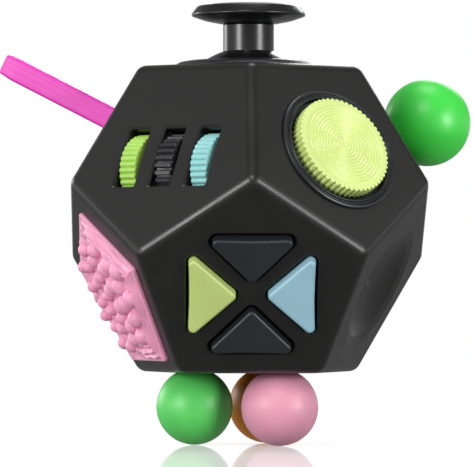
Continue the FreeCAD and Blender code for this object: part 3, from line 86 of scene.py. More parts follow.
FACES = {
    "joystick": face_frame(0.0, math.pi / 2.0),
    "rollers": face_frame(-36.0, SLOPE),
    "dial": face_frame(36.0, SLOPE, 0.8, -0.35),
    "strap": face_frame(-108.0, SLOPE),
    "side_ball": face_frame(108.0, SLOPE, 0.0, 0.45),
    "rocker": face_frame(180.0, SLOPE),
    "buttons": face_frame(0.0, -SLOPE, 0.0, -1.15),
    "pad": face_frame(-72.0, -SLOPE, -0.8, -1.1),
    "dish": face_frame(72.0, -SLOPE),
    "spinner": face_frame(-144.0, -SLOPE),
    "slider": face_frame(144.0, -SLOPE),
    "feet": face_frame(0.0, -math.pi / 2.0),
}


# ---- Materials ---------------------------------------------------------------
def linear(hex_colour):
    """An sRGB hex colour as a linear one with full alpha."""
    values = []
    for start in (0, 2, 4):
        part = int(hex_colour[start:start + 2], 16) / 255.0
        if part <= 0.04045:
            values.append(part / 12.92)
        else:
            values.append(((part + 0.055) / 1.055) ** 2.4)
    return (*values, 1.0)


def add(tree, kind, settings=None, values=None, links=None):
    """A new node with its settings, its input values and its links."""
    made = tree.nodes.new(kind)
    for name, value in (settings or {}).items():
        setattr(made, name, value)
    for name, value in (values or {}).items():
        made.inputs[name].default_value = value
    for name, source in (links or {}).items():
        tree.links.new(source, made.inputs[name])
    return made


def shaded_colour(tree, place, colour, depth, blotch):
    """The colour, a little lighter and darker in soft blotches of this size."""
    blotches = add(
        tree, "ShaderNodeTexNoise",
        values={"Scale": 1.0 / blotch, "Detail": 3.0, "Roughness": 0.55},
        links={"Vector": place},
    )
    red, green, blue, alpha = linear(colour)
    darker = (red * (1.0 - depth), green * (1.0 - depth), blue * (1.0 - depth), alpha)
    lighter = (
        min(red * (1.0 + depth), 1.0),
        min(green * (1.0 + depth), 1.0),
        min(blue * (1.0 + depth), 1.0),
        alpha,
    )
    ramp = add(tree, "ShaderNodeValToRGB", links={"Fac": blotches.outputs["Fac"]})
    ramp.color_ramp.elements[0].position = 0.3
    ramp.color_ramp.elements[0].color = darker
    ramp.color_ramp.elements[1].position = 0.7
    ramp.color_ramp.elements[1].color = lighter
    return ramp.outputs["Color"]


def grained_roughness(tree, place, low, high, size):
    """Roughness that wanders between two values, as handled plastic does."""
    patches = add(
        tree, "ShaderNodeTexNoise",
        values={"Scale": 1.0 / size, "Detail": 4.0, "Roughness": 0.6},
        links={"Vector": place},
    )
    spread = add(
        tree, "ShaderNodeMapRange",
        values={"From Min": 0.3, "From Max": 0.7, "To Min": low, "To Max": high},
        links={"Value": patches.outputs["Fac"]},
    )
    return spread.outputs["Result"]


def new_material(name):
    """An empty node material, its output and the point being shaded."""
    made = bpy.data.materials.new(name)
    made.use_nodes = True
    tree = made.node_tree
    tree.nodes.clear()
    output = add(tree, "ShaderNodeOutputMaterial")
    place = add(tree, "ShaderNodeTexCoord").outputs["Object"]
    return made, tree, output, place


def moulded_plastic(name, colour, low, high, grain=0.12 * MM, relief=0.006 * MM, depth=0.06):
    """Injection-moulded ABS: satin, with a fine spark-eroded grain that only
    breaks up the reflections, and slight patches of polish from handling."""
    made, tree, output, place = new_material(name)
    grit = add(
        tree, "ShaderNodeTexNoise",
        values={"Scale": 1.0 / grain, "Detail": 2.0, "Roughness": 0.5},
        links={"Vector": place},
    )
    bump = add(
        tree, "ShaderNodeBump",
        values={"Strength": 0.35, "Distance": relief},
        links={"Height": grit.outputs["Fac"]},
    )
    shader = add(
        tree, "ShaderNodeBsdfPrincipled",
        values={"IOR": 1.53},
        links={
            "Base Color": shaded_colour(tree, place, colour, depth, 9.0 * MM),
            "Roughness": grained_roughness(tree, place, low, high, 6.0 * MM),
            "Normal": bump.outputs["Normal"],
        },
    )
    tree.links.new(shader.outputs["BSDF"], output.inputs["Surface"])
    return made


def silicone(name, colour, low, high, glow=0.25, depth=0.05, shine=0.5):
    """Soft cast silicone: light goes a little way in, a matt skin with a faint
    bloom, and a fine dusty grain."""
    made, tree, output, place = new_material(name)
    grit = add(
        tree, "ShaderNodeTexNoise",
        values={"Scale": 1.0 / (0.25 * MM), "Detail": 3.0, "Roughness": 0.6},
        links={"Vector": place},
    )
    bump = add(
        tree, "ShaderNodeBump",
        values={"Strength": 0.3, "Distance": 0.01 * MM},
        links={"Height": grit.outputs["Fac"]},
    )
    shader = add(
        tree, "ShaderNodeBsdfPrincipled",
        values={
            "IOR": 1.41,
            "Subsurface Weight": glow,
            "Subsurface Radius": (1.0, 1.0, 1.0),
            "Subsurface Scale": 1.2 * MM,
            "Specular IOR Level": shine,
        },
        links={
            "Base Color": shaded_colour(tree, place, colour, depth, 7.0 * MM),
            "Roughness": grained_roughness(tree, place, low, high, 5.0 * MM),
            "Normal": bump.outputs["Normal"],
        },
    )
    tree.links.new(shader.outputs["BSDF"], output.inputs["Surface"])
    return made


def turned_steel(name, colour, roughness):
    """Turned steel: fine tool marks round the part, under a plated shine."""
    made, tree, output, place = new_material(name)
    marks = add(
        tree, "ShaderNodeTexNoise",
        values={"Scale": 1.0 / (0.08 * MM), "Detail": 2.0},
        links={"Vector": place},
    )
    bump = add(
        tree, "ShaderNodeBump",
        values={"Strength": 0.25, "Distance": 0.004 * MM},
        links={"Height": marks.outputs["Fac"]},
    )
    shader = add(
        tree, "ShaderNodeBsdfPrincipled",
        values={"Metallic": 1.0},
        links={
            "Base Color": shaded_colour(tree, place, colour, 0.08, 2.0 * MM),
            "Roughness": grained_roughness(tree, place, roughness, roughness + 0.12, 1.5 * MM),
            "Normal": bump.outputs["Normal"],
        },
    )
    tree.links.new(shader.outputs["BSDF"], output.inputs["Surface"])
    return made


MATERIALS = {
    # Black moulded ABS: a satin skin with soft, broad highlights on its edges.
    "casing_plastic": moulded_plastic("satin_black_abs", "151413", 0.31, 0.38),
    "bezel_plastic": moulded_plastic("blue_black_abs", "17181d", 0.30, 0.38),
    # Black nylon, the smoothest of the blacks: narrower, clearer highlights.
    "joystick_plastic": moulded_plastic("smooth_black_nylon", "101011", 0.26, 0.33),
    # Grey rubber: matt, and no light goes into it.
    "grip_rubber": silicone("grey_grip_rubber", "77787c", 0.55, 0.65, glow=0.0),
    # Inner pieces, mostly hidden: plain dull ABS and pale soft silicone.
    "inner_plastic": moulded_plastic("inner_grey_abs", "3a3b3e", 0.5, 0.6),
    "clear_silicone": silicone("pale_silicone", "c9ccc6", 0.4, 0.5),
    # Coloured ABS, dyed through: an even colour under a satin skin.
    "green_roller_plastic": moulded_plastic("leaf_green_abs", "a9d65f", 0.34, 0.42),
    "black_roller_plastic": moulded_plastic("black_roller_abs", "2a2a2d", 0.34, 0.42),
    "blue_roller_plastic": moulded_plastic("pale_aqua_abs", "8fcbca", 0.34, 0.42),
    "dial_plastic": moulded_plastic("lime_abs", "d9ea92", 0.28, 0.36),
    "black_button_plastic": moulded_plastic("slate_black_abs", "1d2026", 0.34, 0.42),
    "green_button_plastic": moulded_plastic("olive_lime_abs", "bdd07c", 0.34, 0.42),
    "blue_button_plastic": moulded_plastic("dusty_blue_abs", "93bccb", 0.34, 0.42),
    "rocker_plastic": moulded_plastic("rocker_aqua_abs", "8fcbca", 0.34, 0.42),
    "spinner_plastic": moulded_plastic("spinner_lime_abs", "cfe67e", 0.34, 0.42),
    "slider_plastic": moulded_plastic("slider_pink_abs", "e58fb2", 0.34, 0.42),
    # Cast silicone: a soft skin, and a faint glow from light that goes in.
    "pink_silicone": silicone("pink_pad_silicone", "efa3c2", 0.42, 0.52),
    "magenta_silicone": silicone("magenta_strap_silicone", "dd2fb2", 0.34, 0.42),
    "large_ball_silicone": silicone("bright_green_silicone", "3edb48", 0.36, 0.44, shine=0.9),
    "green_ball_silicone": silicone("green_silicone", "5ad061", 0.40, 0.48, shine=0.8),
    "pink_ball_silicone": silicone("rose_silicone", "e29ab2", 0.40, 0.48, shine=0.8),
    "orange_ball_silicone": silicone("orange_silicone", "f78f1c", 0.40, 0.48, glow=0.1),
    # Steel: bright metal with fine tool marks that break up its shine.
    "axle_steel": turned_steel("drawn_steel", "b9bbbd", 0.25),
    "screw_steel": turned_steel("plated_steel", "9a9c9f", 0.3),
    "bearing_steel": turned_steel("turned_bearing_steel", "c2c4c6", 0.2),
}
SLOT_OF = {part["node"]: part["material_slot"] for part in frame["record"]["subparts"]}


def finish_cad_nodes():
    """Every CAD node gets the material of its slot."""
    for name, obj in frame["nodes"].items():
        obj.data.materials.clear()
        obj.data.materials.append(MATERIALS[SLOT_OF[name]])


# ---- Meshes ------------------------------------------------------------------
def put(name, verts, faces, face, body, slot, nodes, sharp=40.0):
    """A mesh drawn in a face frame, riding on its body in place of CAD nodes.
    Edges that turn by more than the sharp angle stay crisp."""
    mesh = bpy.data.meshes.new(name)
    mesh.from_pydata([tuple(v) for v in verts], [], faces)
    mesh.transform(FACES[face])
    skin = bmesh.new()
    skin.from_mesh(mesh)
    bmesh.ops.remove_doubles(skin, verts=skin.verts, dist=MERGE)
    bmesh.ops.dissolve_degenerate(skin, edges=skin.edges, dist=MERGE)
    bmesh.ops.recalc_face_normals(skin, faces=skin.faces)
    skin.to_mesh(mesh)
    skin.free()
    mesh.shade_smooth()
    mesh.set_sharp_from_angle(angle=math.radians(sharp))
    obj = bpy.data.objects.new(name, mesh)
    bpy.context.scene.collection.objects.link(obj)
    obj.data.materials.append(MATERIALS[slot])
    if nodes:
        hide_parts(*nodes)
    if body:
        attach(obj, body)
    return obj


def stacked(rings, first_closed=True, last_closed=True):
    """Vertices and faces of a skin over equal rings of points, in order."""
    count = len(rings[0])
    verts = [point for ring in rings for point in ring]
    faces = []
    for level in range(len(rings) - 1):
        low = level * count
        high = low + count
        for index in range(count):
            after = (index + 1) % count
            faces.append((low + index, low + after, high + after, high + index))
    if first_closed:
        faces.append(tuple(reversed(range(count))))
    if last_closed:
        top = (len(rings) - 1) * count
        faces.append(tuple(range(top, top + count)))
    return verts, faces


def rounded(corners, steps=6, closed=False):
    """Polyline through (u, v, radius) corners, each with a tangent arc."""
    points = []
    last = len(corners) - 1
    for index, (u, v, radius) in enumerate(corners):
        here = Vector((u, v))
        if radius <= 0.0 or (not closed and index in (0, last)):
            points.append((u, v))
            continue
        before = Vector(corners[index - 1][:2])
        after = Vector(corners[(index + 1) % len(corners)][:2])
        back = (before - here).normalized()
        ahead = (after - here).normalized()
        half = back.angle(ahead) / 2.0
        centre = here + (back + ahead).normalized() * (radius / math.sin(half))
        start = here + back * (radius / math.tan(half)) - centre
        end = here + ahead * (radius / math.tan(half)) - centre
        first = math.atan2(start.y, start.x)
        sweep = math.atan2(end.y, end.x) - first
        sweep = (sweep + math.pi) % (2.0 * math.pi) - math.pi
        for step in range(steps + 1):
            angle = first + sweep * step / steps
            points.append((
                centre.x + radius * math.cos(angle),
                centre.y + radius * math.sin(angle),
            ))
    return points


def lathe_rings(profile, count, wobble=None):
    """Rings about z for an (r, z) profile; wobble(r, angle) changes r."""
    rings = []
    for radius, height in profile:
        ring = []
        for index in range(count):
            angle = 2.0 * math.pi * index / count
            here = wobble(radius, angle) if wobble else radius
            ring.append((here * math.cos(angle), here * math.sin(angle), height))
        rings.append(ring)
    return rings


def scaled(corners):
    """(u, v, radius) corners given in millimetres, as metres."""
    return [(u * MM, v * MM, r * MM) for u, v, r in corners]


def lathe(name, corners, face, body, slot, nodes, count=128, hollow=False, steps=6):
    """A turned piece from corners in millimetres, closed on the axis."""
    profile = rounded(scaled(corners), steps, closed=hollow)
    rings = lathe_rings(profile, count)
    if hollow:
        rings.append(rings[0])
        verts, faces = stacked(rings, False, False)
    else:
        verts, faces = stacked(rings)
    return put(name, verts, faces, face, body, slot, nodes)


# ---- Joystick ------------------------------------------------------------------
DOME_RADIUS = 12.15          # the dome under the stem, about the pivot
BEZEL_BORE = 12.45           # the bezel's inside, about the pivot
PIVOT_LOW = PIVOT_DEPTH / MM


def on_dome(radius, degrees):
    """A point of a sphere about the pivot, in the top face's frame."""
    angle = math.radians(degrees)
    return radius * math.sin(angle), radius * math.cos(angle) - PIVOT_LOW, 0.0


def joystick():
    """The bezel ring, the stem on its dome, the cap and its ridged grip pad."""
    bezel = [
        (11.55, 0.0, 0.0),
        (11.55, 0.12, 0.06),
        (10.6, 0.72, 1.43),
        (9.3, 0.95, 2.85),
        (7.36, 0.95, 0.2),
    ]
    bezel += [on_dome(BEZEL_BORE, 37.5 + step * 2.15) for step in range(9)]
    bezel += [(10.4, -2.0, 0.0), (10.4, 0.0, 0.0)]
    lathe("joystick_bezel_ring", bezel, "joystick", "casing", "bezel_plastic",
          ["joystick_bezel"], count=192, hollow=True)
    skirt = [(0.0, 6.55, 0.0), (3.9, 6.55, 0.15), (3.9, 2.407, 0.15)]
    skirt += [on_dome(DOME_RADIUS, 20.6 + step * 1.68) for step in range(17)]
    skirt += [on_dome(DOME_RADIUS - 1.0, 47.5 - step * 4.0) for step in range(8)]
    skirt.append((0.0, 1.6, 0.0))
    lathe("joystick_stem_moulding", skirt, "joystick", "stick", "joystick_plastic",
          ["joystick_stem"], count=192)
    cap = [
        (0.0, 6.6, 0.0),
        (3.9, 6.6, 0.0),
        (6.6, 7.1, 8.0),
        (8.95, 7.9, 0.3),
        (7.8, 9.4, 0.45),
        (6.15, 9.4, 0.15),
        (6.0, 9.2, 0.0),
        (6.0, 8.3, 0.0),
        (0.0, 8.3, 0.0),
    ]
    lathe("joystick_cap_moulding", cap, "joystick", "stick", "joystick_plastic",
          ["joystick_cap"], count=192)
    pad = [(0.0, 8.32, 0.0), (5.95, 8.32, 0.0), (5.95, 9.69, 0.25), (5.3, 9.62, 0.2)]
    for ridge in range(5):
        radius = 4.75 - ridge * 0.85
        height = 9.5 - ridge * 0.1
        pad += [
            (radius + 0.28, height, 0.1),
            (radius, height - 0.22, 0.1),
            (radius - 0.28, height - 0.04, 0.1),
        ]
    pad.append((0.0, 9.0, 0.0))
    lathe("joystick_grip_pad", pad, "joystick", "stick", "grip_rubber",
          ["joystick_cap_pad"], count=144, steps=4)


# ---- Dial ----------------------------------------------------------------------
DIAL_TEETH = 56
DIAL_RADIUS = 7.9 * MM
DIAL_TOOTH_DEPTH = 0.42
DIAL_TOP = 1.8 * MM
DIAL_LOW = -0.4 * MM
DIAL_SMOOTH = 6.9 * MM        # the teeth begin outside this radius
DIAL_FOOT_ROUND = 0.15 * MM
DIAL_TOP_ROUND = 0.16 * MM
DIAL_RING_EDGE = 6.7 * MM
DIAL_RINGS = 13
DIAL_RING_DEPTH = 0.16 * MM


def dial_wobble(radius, angle):
    """Teeth round the rim, as deep at the top edge as at the foot."""
    if radius <= DIAL_SMOOTH:
        return radius
    phase = (angle * DIAL_TEETH / (2.0 * math.pi)) % 1.0
    lobe = math.sin(math.pi * phase) ** 0.75
    return DIAL_SMOOTH + (radius - DIAL_SMOOTH) * (1.0 - DIAL_TOOTH_DEPTH * (1.0 - lobe))


def dial():
    """The toothed disc with its fine rings, and the stepped ring it turns in."""
    rim = [
        (0.0, DIAL_LOW, 0.0),
        (DIAL_SMOOTH, DIAL_LOW, 0.0),
        (DIAL_RADIUS, DIAL_LOW, DIAL_FOOT_ROUND),
        (DIAL_RADIUS, DIAL_TOP, DIAL_TOP_ROUND),
        (DIAL_SMOOTH, DIAL_TOP, 0.0),
    ]
    profile = rounded(rim, 4)
    steps = DIAL_RINGS * 10
    for step in range(steps + 1):
        radius = DIAL_RING_EDGE * (1.0 - step / steps)
        wave = 0.5 - 0.5 * math.cos(2.0 * math.pi * DIAL_RINGS * step / steps)
        profile.append((radius, DIAL_TOP - DIAL_RING_DEPTH * wave ** 0.8))
    rings = lathe_rings(profile, DIAL_TEETH * 12, dial_wobble)
    verts, faces = stacked(rings)
    put("dial_disc_moulding", verts, faces, "dial", "dial", "dial_plastic", ["dial_disc"])
    bezel = [
        (10.0, 0.0, 0.0),
        (10.0, 0.4, 0.14),
        (9.72, 0.54, 0.12),
        (9.5, 0.5, 0.1),
        (9.3, 0.24, 0.1),
        (9.1, 0.24, 0.1),
        (8.94, 0.53, 0.12),
        (8.6, 0.53, 0.14),
        (8.6, -0.7, 0.1),
        (2.06, -0.7, 0.0),
        (2.06, -2.28, 0.0),
        (9.2, -2.28, 0.0),
        (9.2, 0.0, 0.0),
    ]
    lathe("dial_bezel_ring", bezel, "dial", "casing", "bezel_plastic",
          ["dial_bezel"], count=192, hollow=True, steps=4)


# ---- Rollers -------------------------------------------------------------------
ROLLER_PITCH = 6.5 * MM
ROLLER_DOWN = 1.45 * MM
ROLLER_RADIUS = 5.6 * MM
ROLLER_HALF_WIDTH = 1.475 * MM
ROLLER_AXLE_DEPTH = 4.85 * MM
ROLLER_EDGE = 0.3 * MM
ROLLER_BORE = 0.85 * MM
RIB_STEPS = 14


def roller(name, column, ribs, depth, flat, slot):
    """A ribbed wheel on the cross axle: rounded ribs, or deep flat ones, that
    run right across it between smooth flanks."""
    half = ROLLER_HALF_WIDTH
    stations = [(-half, ROLLER_BORE, 0.0), (-half, ROLLER_RADIUS - ROLLER_EDGE - depth, 0.0)]
    for step in range(6):
        angle = math.pi / 2.0 * step / 5.0
        stations.append((
            -half + ROLLER_EDGE * (1.0 - math.cos(angle)),
            ROLLER_RADIUS - ROLLER_EDGE * (1.0 - math.sin(angle)),
            0.9,
        ))
    stations.append((-half + 0.45 * MM, ROLLER_RADIUS, 1.0))
    stations.append((0.0, ROLLER_RADIUS, 1.0))
    stations += [(-along, radius, share) for along, radius, share in reversed(stations[:-1])]
    count = ribs * RIB_STEPS
    rings = []
    for along, radius, share in stations:
        ring = []
        for index in range(count):
            angle = 2.0 * math.pi * index / count
            phase = (index % RIB_STEPS) / RIB_STEPS
            if flat:
                lobe = min(max(3.4 - abs(phase - 0.5) * 10.0, 0.0), 1.0)
            else:
                lobe = math.sin(math.pi * phase) ** 0.6
            here = radius - depth * share * (1.0 - lobe)
            ring.append((
                column * ROLLER_PITCH + along,
                here * math.sin(angle) - ROLLER_DOWN,
                here * math.cos(angle) - ROLLER_AXLE_DEPTH,
            ))
        rings.append(ring)
    rings.append(rings[0])
    verts, faces = stacked(rings, False, False)
    put("roller_" + name + "_wheel", verts, faces, "rollers", name + "_roller", slot,
        ["roller_" + name])


def rollers():
    roller("green", -1, 36, 0.38 * MM, False, "green_roller_plastic")
    roller("black", 0, 30, 0.55 * MM, True, "black_roller_plastic")
    roller("blue", 1, 36, 0.38 * MM, False, "blue_roller_plastic")


# ---- Buttons -------------------------------------------------------------------
BUTTON_PROUD = 1.3 * MM
BUTTON_ROUND = 0.45 * MM
BUTTON_DRAFT = 0.06 * MM
BUTTON_HOLLOW = 0.14 * MM


def divided(points, longest):
    """The closed outline with its long straight stretches cut up."""
    result = []
    for index, here in enumerate(points):
        after = points[(index + 1) % len(points)]
        length = math.dist(here, after)
        parts = max(1, int(length / longest))
        for part in range(parts):
            share = part / parts
            result.append((
                here[0] + (after[0] - here[0]) * share,
                here[1] + (after[1] - here[1]) * share,
            ))
    return result


def inset(points, amount):
    """The closed outline moved inwards along its own normals."""
    result = []
    count = len(points)
    for index in range(count):
        before = Vector(points[index - 1])
        after = Vector(points[(index + 1) % count])
        along = (after - before).normalized()
        result.append((
            points[index][0] - along.y * amount,
            points[index][1] + along.x * amount,
        ))
    return result


def button_outline():
    """Triangle with its tip near the cross centre and a slightly hollow base."""
    corners = scaled([(0.0, 2.0, 0.8), (7.1, 9.5, 0.8), (-7.1, 9.5, 0.8)])
    points = divided(rounded(corners, 10, closed=True), 0.3 * MM)
    bent = []
    for x, y in points:
        if y > 9.45 * MM:
            y -= BUTTON_HOLLOW * max(0.0, 1.0 - (x / (5.4 * MM)) ** 2)
        bent.append((x, y))
    return bent


def buttons():
    """Four triangular caps round the middle of the face, tips inwards."""
    base = button_outline()
    shoulder = BUTTON_PROUD - BUTTON_ROUND
    levels = [(-3.0 * MM, 0.0), (-0.6 * MM, 0.0), (shoulder, BUTTON_DRAFT)]
    for step in range(1, 8):
        angle = math.pi / 2.0 * step / 7.0
        levels.append((
            shoulder + BUTTON_ROUND * math.sin(angle),
            BUTTON_DRAFT + BUTTON_ROUND * (1.0 - math.cos(angle)),
        ))
    levels.append((BUTTON_PROUD, BUTTON_DRAFT + BUTTON_ROUND + 0.1 * MM))
    slots = {
        "top": (0.0, "black_button_plastic"),
        "left": (90.0, "green_button_plastic"),
        "bottom": (180.0, "black_button_plastic"),
        "right": (270.0, "blue_button_plastic"),
    }
    for name, (turn, slot) in slots.items():
        angle = math.radians(turn)
        rings = []
        for height, amount in levels:
            ring = []
            for x, y in inset(base, amount):
                ring.append((
                    x * math.cos(angle) - y * math.sin(angle),
                    x * math.sin(angle) + y * math.cos(angle),
                    height,
                ))
            rings.append(ring)
        verts, faces = stacked(rings)
        put("button_" + name + "_cap", verts, faces, "buttons", name + "_button", slot,
            ["button_" + name])


# ---- Bumpy pad -----------------------------------------------------------------
PAD_SIZE = 11.2 * MM
PAD_CORNER = 0.5 * MM
PAD_PROUD = 0.5 * MM
PAD_BREAK = 0.2 * MM
PAD_KNOBS = 34
PAD_PIMPLES = 46
PAD_FIELD = 10.0 * MM
PIMPLE_FIELD = 10.9 * MM
KNOB_CENTRE = 0.5 * MM
FOLDS_BEGIN = 2.0 * MM        # folds lie to the right of this, not knobs
FOLDS_WIDTH = 2.9 * MM        # and this near to the pad's edge
PAD_SINK = 0.8 * MM           # how far the pad's skirt goes into its seat


def spiral(count, start, turn, field):
    """Evenly spread points on a sunflower spiral."""
    spots = []
    for index in range(count):
        distance = field * math.sqrt((index + start) / count)
        angle = turn + index * GOLDEN_ANGLE
        spots.append((distance * math.sin(angle), distance * math.cos(angle)))
    return spots


def on_folds(x, y):
    """True along the right-hand sides, which have flowing folds, not knobs."""
    return x > FOLDS_BEGIN and pad_edge_distance(x, y) < FOLDS_WIDTH


def pad_knobs():
    """(x, y, radius, rise above the centre): the big round knobs, sizes mixed,
    then the small pimples wherever they find room between them."""
    knobs = []
    for index, (x, y) in enumerate(spiral(PAD_KNOBS, 0.5, 0.0, PAD_FIELD)):
        mix = 0.5 + 0.5 * math.sin(2.4 * index)
        radius = (1.05 + 0.65 * mix) * MM
        knobs.append((x, y, radius, 0.35 * radius + 1.1 * MM))
    large = list(knobs)
    knobs = [spot for spot in knobs if not on_folds(spot[0], spot[1])]
    kept = len(knobs)
    for index, (x, y) in enumerate(spiral(PAD_PIMPLES * 3, 0.7, 1.1, PIMPLE_FIELD)):
        radius = (0.62 + 0.2 * math.sin(1.7 * index)) * MM
        room = min(
            [math.dist((x, y), (a, b)) - r - radius for a, b, r, c in large]
            + [math.dist((x, y), (a, b)) - r - radius for a, b, r, c in knobs[kept:]]
        )
        if room > 0.0 and pad_edge_distance(x, y) > radius and not on_folds(x, y):
            knobs.append((x, y, radius, 0.9 * radius))
    return knobs


def pad_edge_distance(x, y):
    """How far a point is from the nearest of the pad's five sides."""
    nearest = None
    for side in range(5):
        angle = math.radians(36.0 + 72.0 * side)
        reach = PAD_SIZE - (x * math.sin(angle) + y * math.cos(angle))
        nearest = reach if nearest is None else np.minimum(nearest, reach)
    return nearest


def pad_height(x, y, knobs):
    """Height of the pad's plate: soft waves, folds that flow along its
    right-hand sides, and a raised foot round every knob."""
    edge = pad_edge_distance(x, y)
    drift = np.array([
        noise.noise(Vector((a / (3.2 * MM), b / (3.2 * MM), 0.3))) for a, b in zip(x, y)
    ])
    inside = np.clip((edge - 0.35 * MM) / (0.5 * MM), 0.0, 1.0)
    right = np.clip((x + 3.0 * MM) / (5.0 * MM), 0.0, 1.0)
    folds = 0.0
    for place, height in ((1.15 * MM, 0.5), (2.15 * MM, 0.62), (3.2 * MM, 0.45)):
        along = (edge + 0.9 * MM * drift - place) / (0.34 * MM)
        folds = folds + height * MM * np.exp(-along ** 2)
    skin = 0.3 * MM * drift + folds * right
    for knob_x, knob_y, radius, rise in knobs:
        away = np.sqrt((x - knob_x) ** 2 + (y - knob_y) ** 2) - radius
        skin = skin + 0.26 * MM * np.exp(-(away / (0.42 * MM)) ** 2)
    return PAD_PROUD + skin * inside


def texture_pad():
    """A five-sided plate with waves and folds, and the knobs set into it."""
    corners = []
    for index in range(5):
        angle = -math.radians(72.0 * index)
        reach = PAD_SIZE / math.cos(math.radians(36.0))
        corners.append((reach * math.sin(angle), reach * math.cos(angle), PAD_CORNER))
    outline = np.array(divided(rounded(corners, 8, closed=True), 0.14 * MM))
    knobs = pad_knobs()
    rings = []
    for height in (-PAD_SINK, PAD_PROUD - PAD_BREAK):
        rings.append([(x, y, height) for x, y in outline])
    for step in range(1, 5):
        angle = math.pi / 2.0 * step / 4.0
        share = 1.0 - PAD_BREAK * (1.0 - math.cos(angle)) / PAD_SIZE
        height = PAD_PROUD - PAD_BREAK * (1.0 - math.sin(angle))
        rings.append([(x * share, y * share, height) for x, y in outline])
    for share in np.linspace(0.975, 0.01, 90):
        x, y = outline[:, 0] * share, outline[:, 1] * share
        rings.append(list(zip(x, y, pad_height(x, y, knobs))))
    verts, faces = stacked(rings)
    for knob_x, knob_y, radius, rise in knobs:
        start = len(verts)
        levels = []
        for step in range(13):
            angle = math.pi / 2.0 * (1.0 - step / 12.0)
            levels.append((radius * math.cos(angle), KNOB_CENTRE + rise * math.sin(angle)))
        levels.append((radius, -0.1 * MM))
        levels.append((0.0, -0.1 * MM))
        rings = []
        for ring in lathe_rings(levels, 40):
            rings.append([(knob_x + a, knob_y + b, c) for a, b, c in ring])
        more_verts, more_faces = stacked(rings, False, False)
        verts += more_verts
        faces += [tuple(start + index for index in face) for face in more_faces]
    put("texture_pad_moulding", verts, faces, "pad", "casing", "pink_silicone",
        ["texture_pad"], sharp=60.0)


# ---- Strap ---------------------------------------------------------------------
STRAP_UP = 4.2 * MM
STRAP_HALF_WIDTH = 1.5 * MM
STRAP_HALF_HEIGHT = 1.8 * MM
STRAP_LENGTH = 23.0 * MM
STRAP_TIP = 2.8 * MM          # length over which the tip narrows
STRAP_TIP_ROUND = 0.22 * MM
STRAP_RIBS = 4
STRAP_CORNER = 0.5 * MM
STRAP_ROOT = 3.0 * MM         # how far the root goes into the casing


def strap_share(station):
    """How wide the tongue is here, as a share of its full width."""
    if station < STRAP_LENGTH - STRAP_TIP:
        return 1.0
    into = (station - (STRAP_LENGTH - STRAP_TIP)) / STRAP_TIP
    return 1.0 - 0.14 * into ** 1.6


def strap():
    """One moulded tongue from its foot to its squared tip, with faint lines
    lengthwise."""
    corners = [
        (-STRAP_HALF_WIDTH, -STRAP_HALF_HEIGHT, STRAP_CORNER),
        (STRAP_HALF_WIDTH, -STRAP_HALF_HEIGHT, STRAP_CORNER),
        (STRAP_HALF_WIDTH, STRAP_HALF_HEIGHT, STRAP_CORNER),
        (-STRAP_HALF_WIDTH, STRAP_HALF_HEIGHT, STRAP_CORNER),
    ]
    outline = divided(rounded(corners, 6, closed=True), 0.07 * MM)
    ribbed = []
    for x, y in outline:
        wave = 0.5 - 0.5 * math.cos(2.0 * math.pi * STRAP_RIBS * y / (2.0 * STRAP_HALF_HEIGHT))
        flank = 1.0 if abs(y) < 0.7 * STRAP_HALF_HEIGHT else 0.0
        ribbed.append((x * (1.0 - 0.02 * wave * flank), y))
    stations = list(np.linspace(-STRAP_ROOT, STRAP_LENGTH - STRAP_TIP_ROUND, 110))
    rims = [0.0] * len(stations)
    for step in range(1, 6):
        angle = math.pi / 2.0 * step / 5.0
        stations.append(STRAP_LENGTH - STRAP_TIP_ROUND * (1.0 - math.sin(angle)))
        rims.append(STRAP_TIP_ROUND * (1.0 - math.cos(angle)))
    rings = []
    for station, rim in zip(stations, rims):
        share = strap_share(station)
        wide = share * (1.0 - rim / STRAP_HALF_WIDTH)
        tall = share * (1.0 - rim / STRAP_HALF_HEIGHT)
        rings.append([(x * wide, y * tall + STRAP_UP, station) for x, y in ribbed])
    verts, faces = stacked(rings)
    tongue = put("strap_tongue", verts, faces, "strap", None, "magenta_silicone",
                 ["strap_tail", "strap_anchor"], sharp=50.0)
    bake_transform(tongue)


# ---- Balls ---------------------------------------------------------------------
FLASH_RISE = 0.010 * MM       # the flash line of the mould, hardly to be felt
FLASH_WIDTH = 0.35 * MM
FOOT_CIRCLE = 8.4 * MM        # the foot balls stand on a circle of this radius
FOOT_TURNS = {"green": -81.0, "pink": 33.0, "orange": 159.0}


def ball(name, radius, height, neck, x, y, face, body, slot, nodes, low, straight, flare):
    """A cast ball with the faintest flash line round its middle. Its neck runs
    straight as far as it slides into its bore, then flares into the ball."""
    profile = [(0.0, low), (neck, low)]
    touch = math.sqrt(radius ** 2 - (neck + flare) ** 2)
    foot = height - touch
    if flare > 0.0:
        for step in range(9):
            share = step / 8.0
            bend = flare * (1.0 - math.cos(math.pi / 2.0 * share))
            rise = 1.0 - (1.0 - share) ** 1.5
            profile.append((neck + bend, straight + (foot - straight) * rise))
    first = math.atan2(-touch, neck + flare)
    for step in range(97):
        angle = first + (math.pi / 2.0 - first) * step / 96.0
        seam = FLASH_RISE * math.exp(-((angle * radius) / FLASH_WIDTH) ** 2)
        here = radius + seam
        profile.append((max(here * math.cos(angle), 0.0), height + here * math.sin(angle)))
    rings = []
    for ring in lathe_rings(profile, 128):
        rings.append([(x + a, y + b, c) for a, b, c in ring])
    verts, faces = stacked(rings)
    put(name, verts, faces, face, body, slot, nodes)


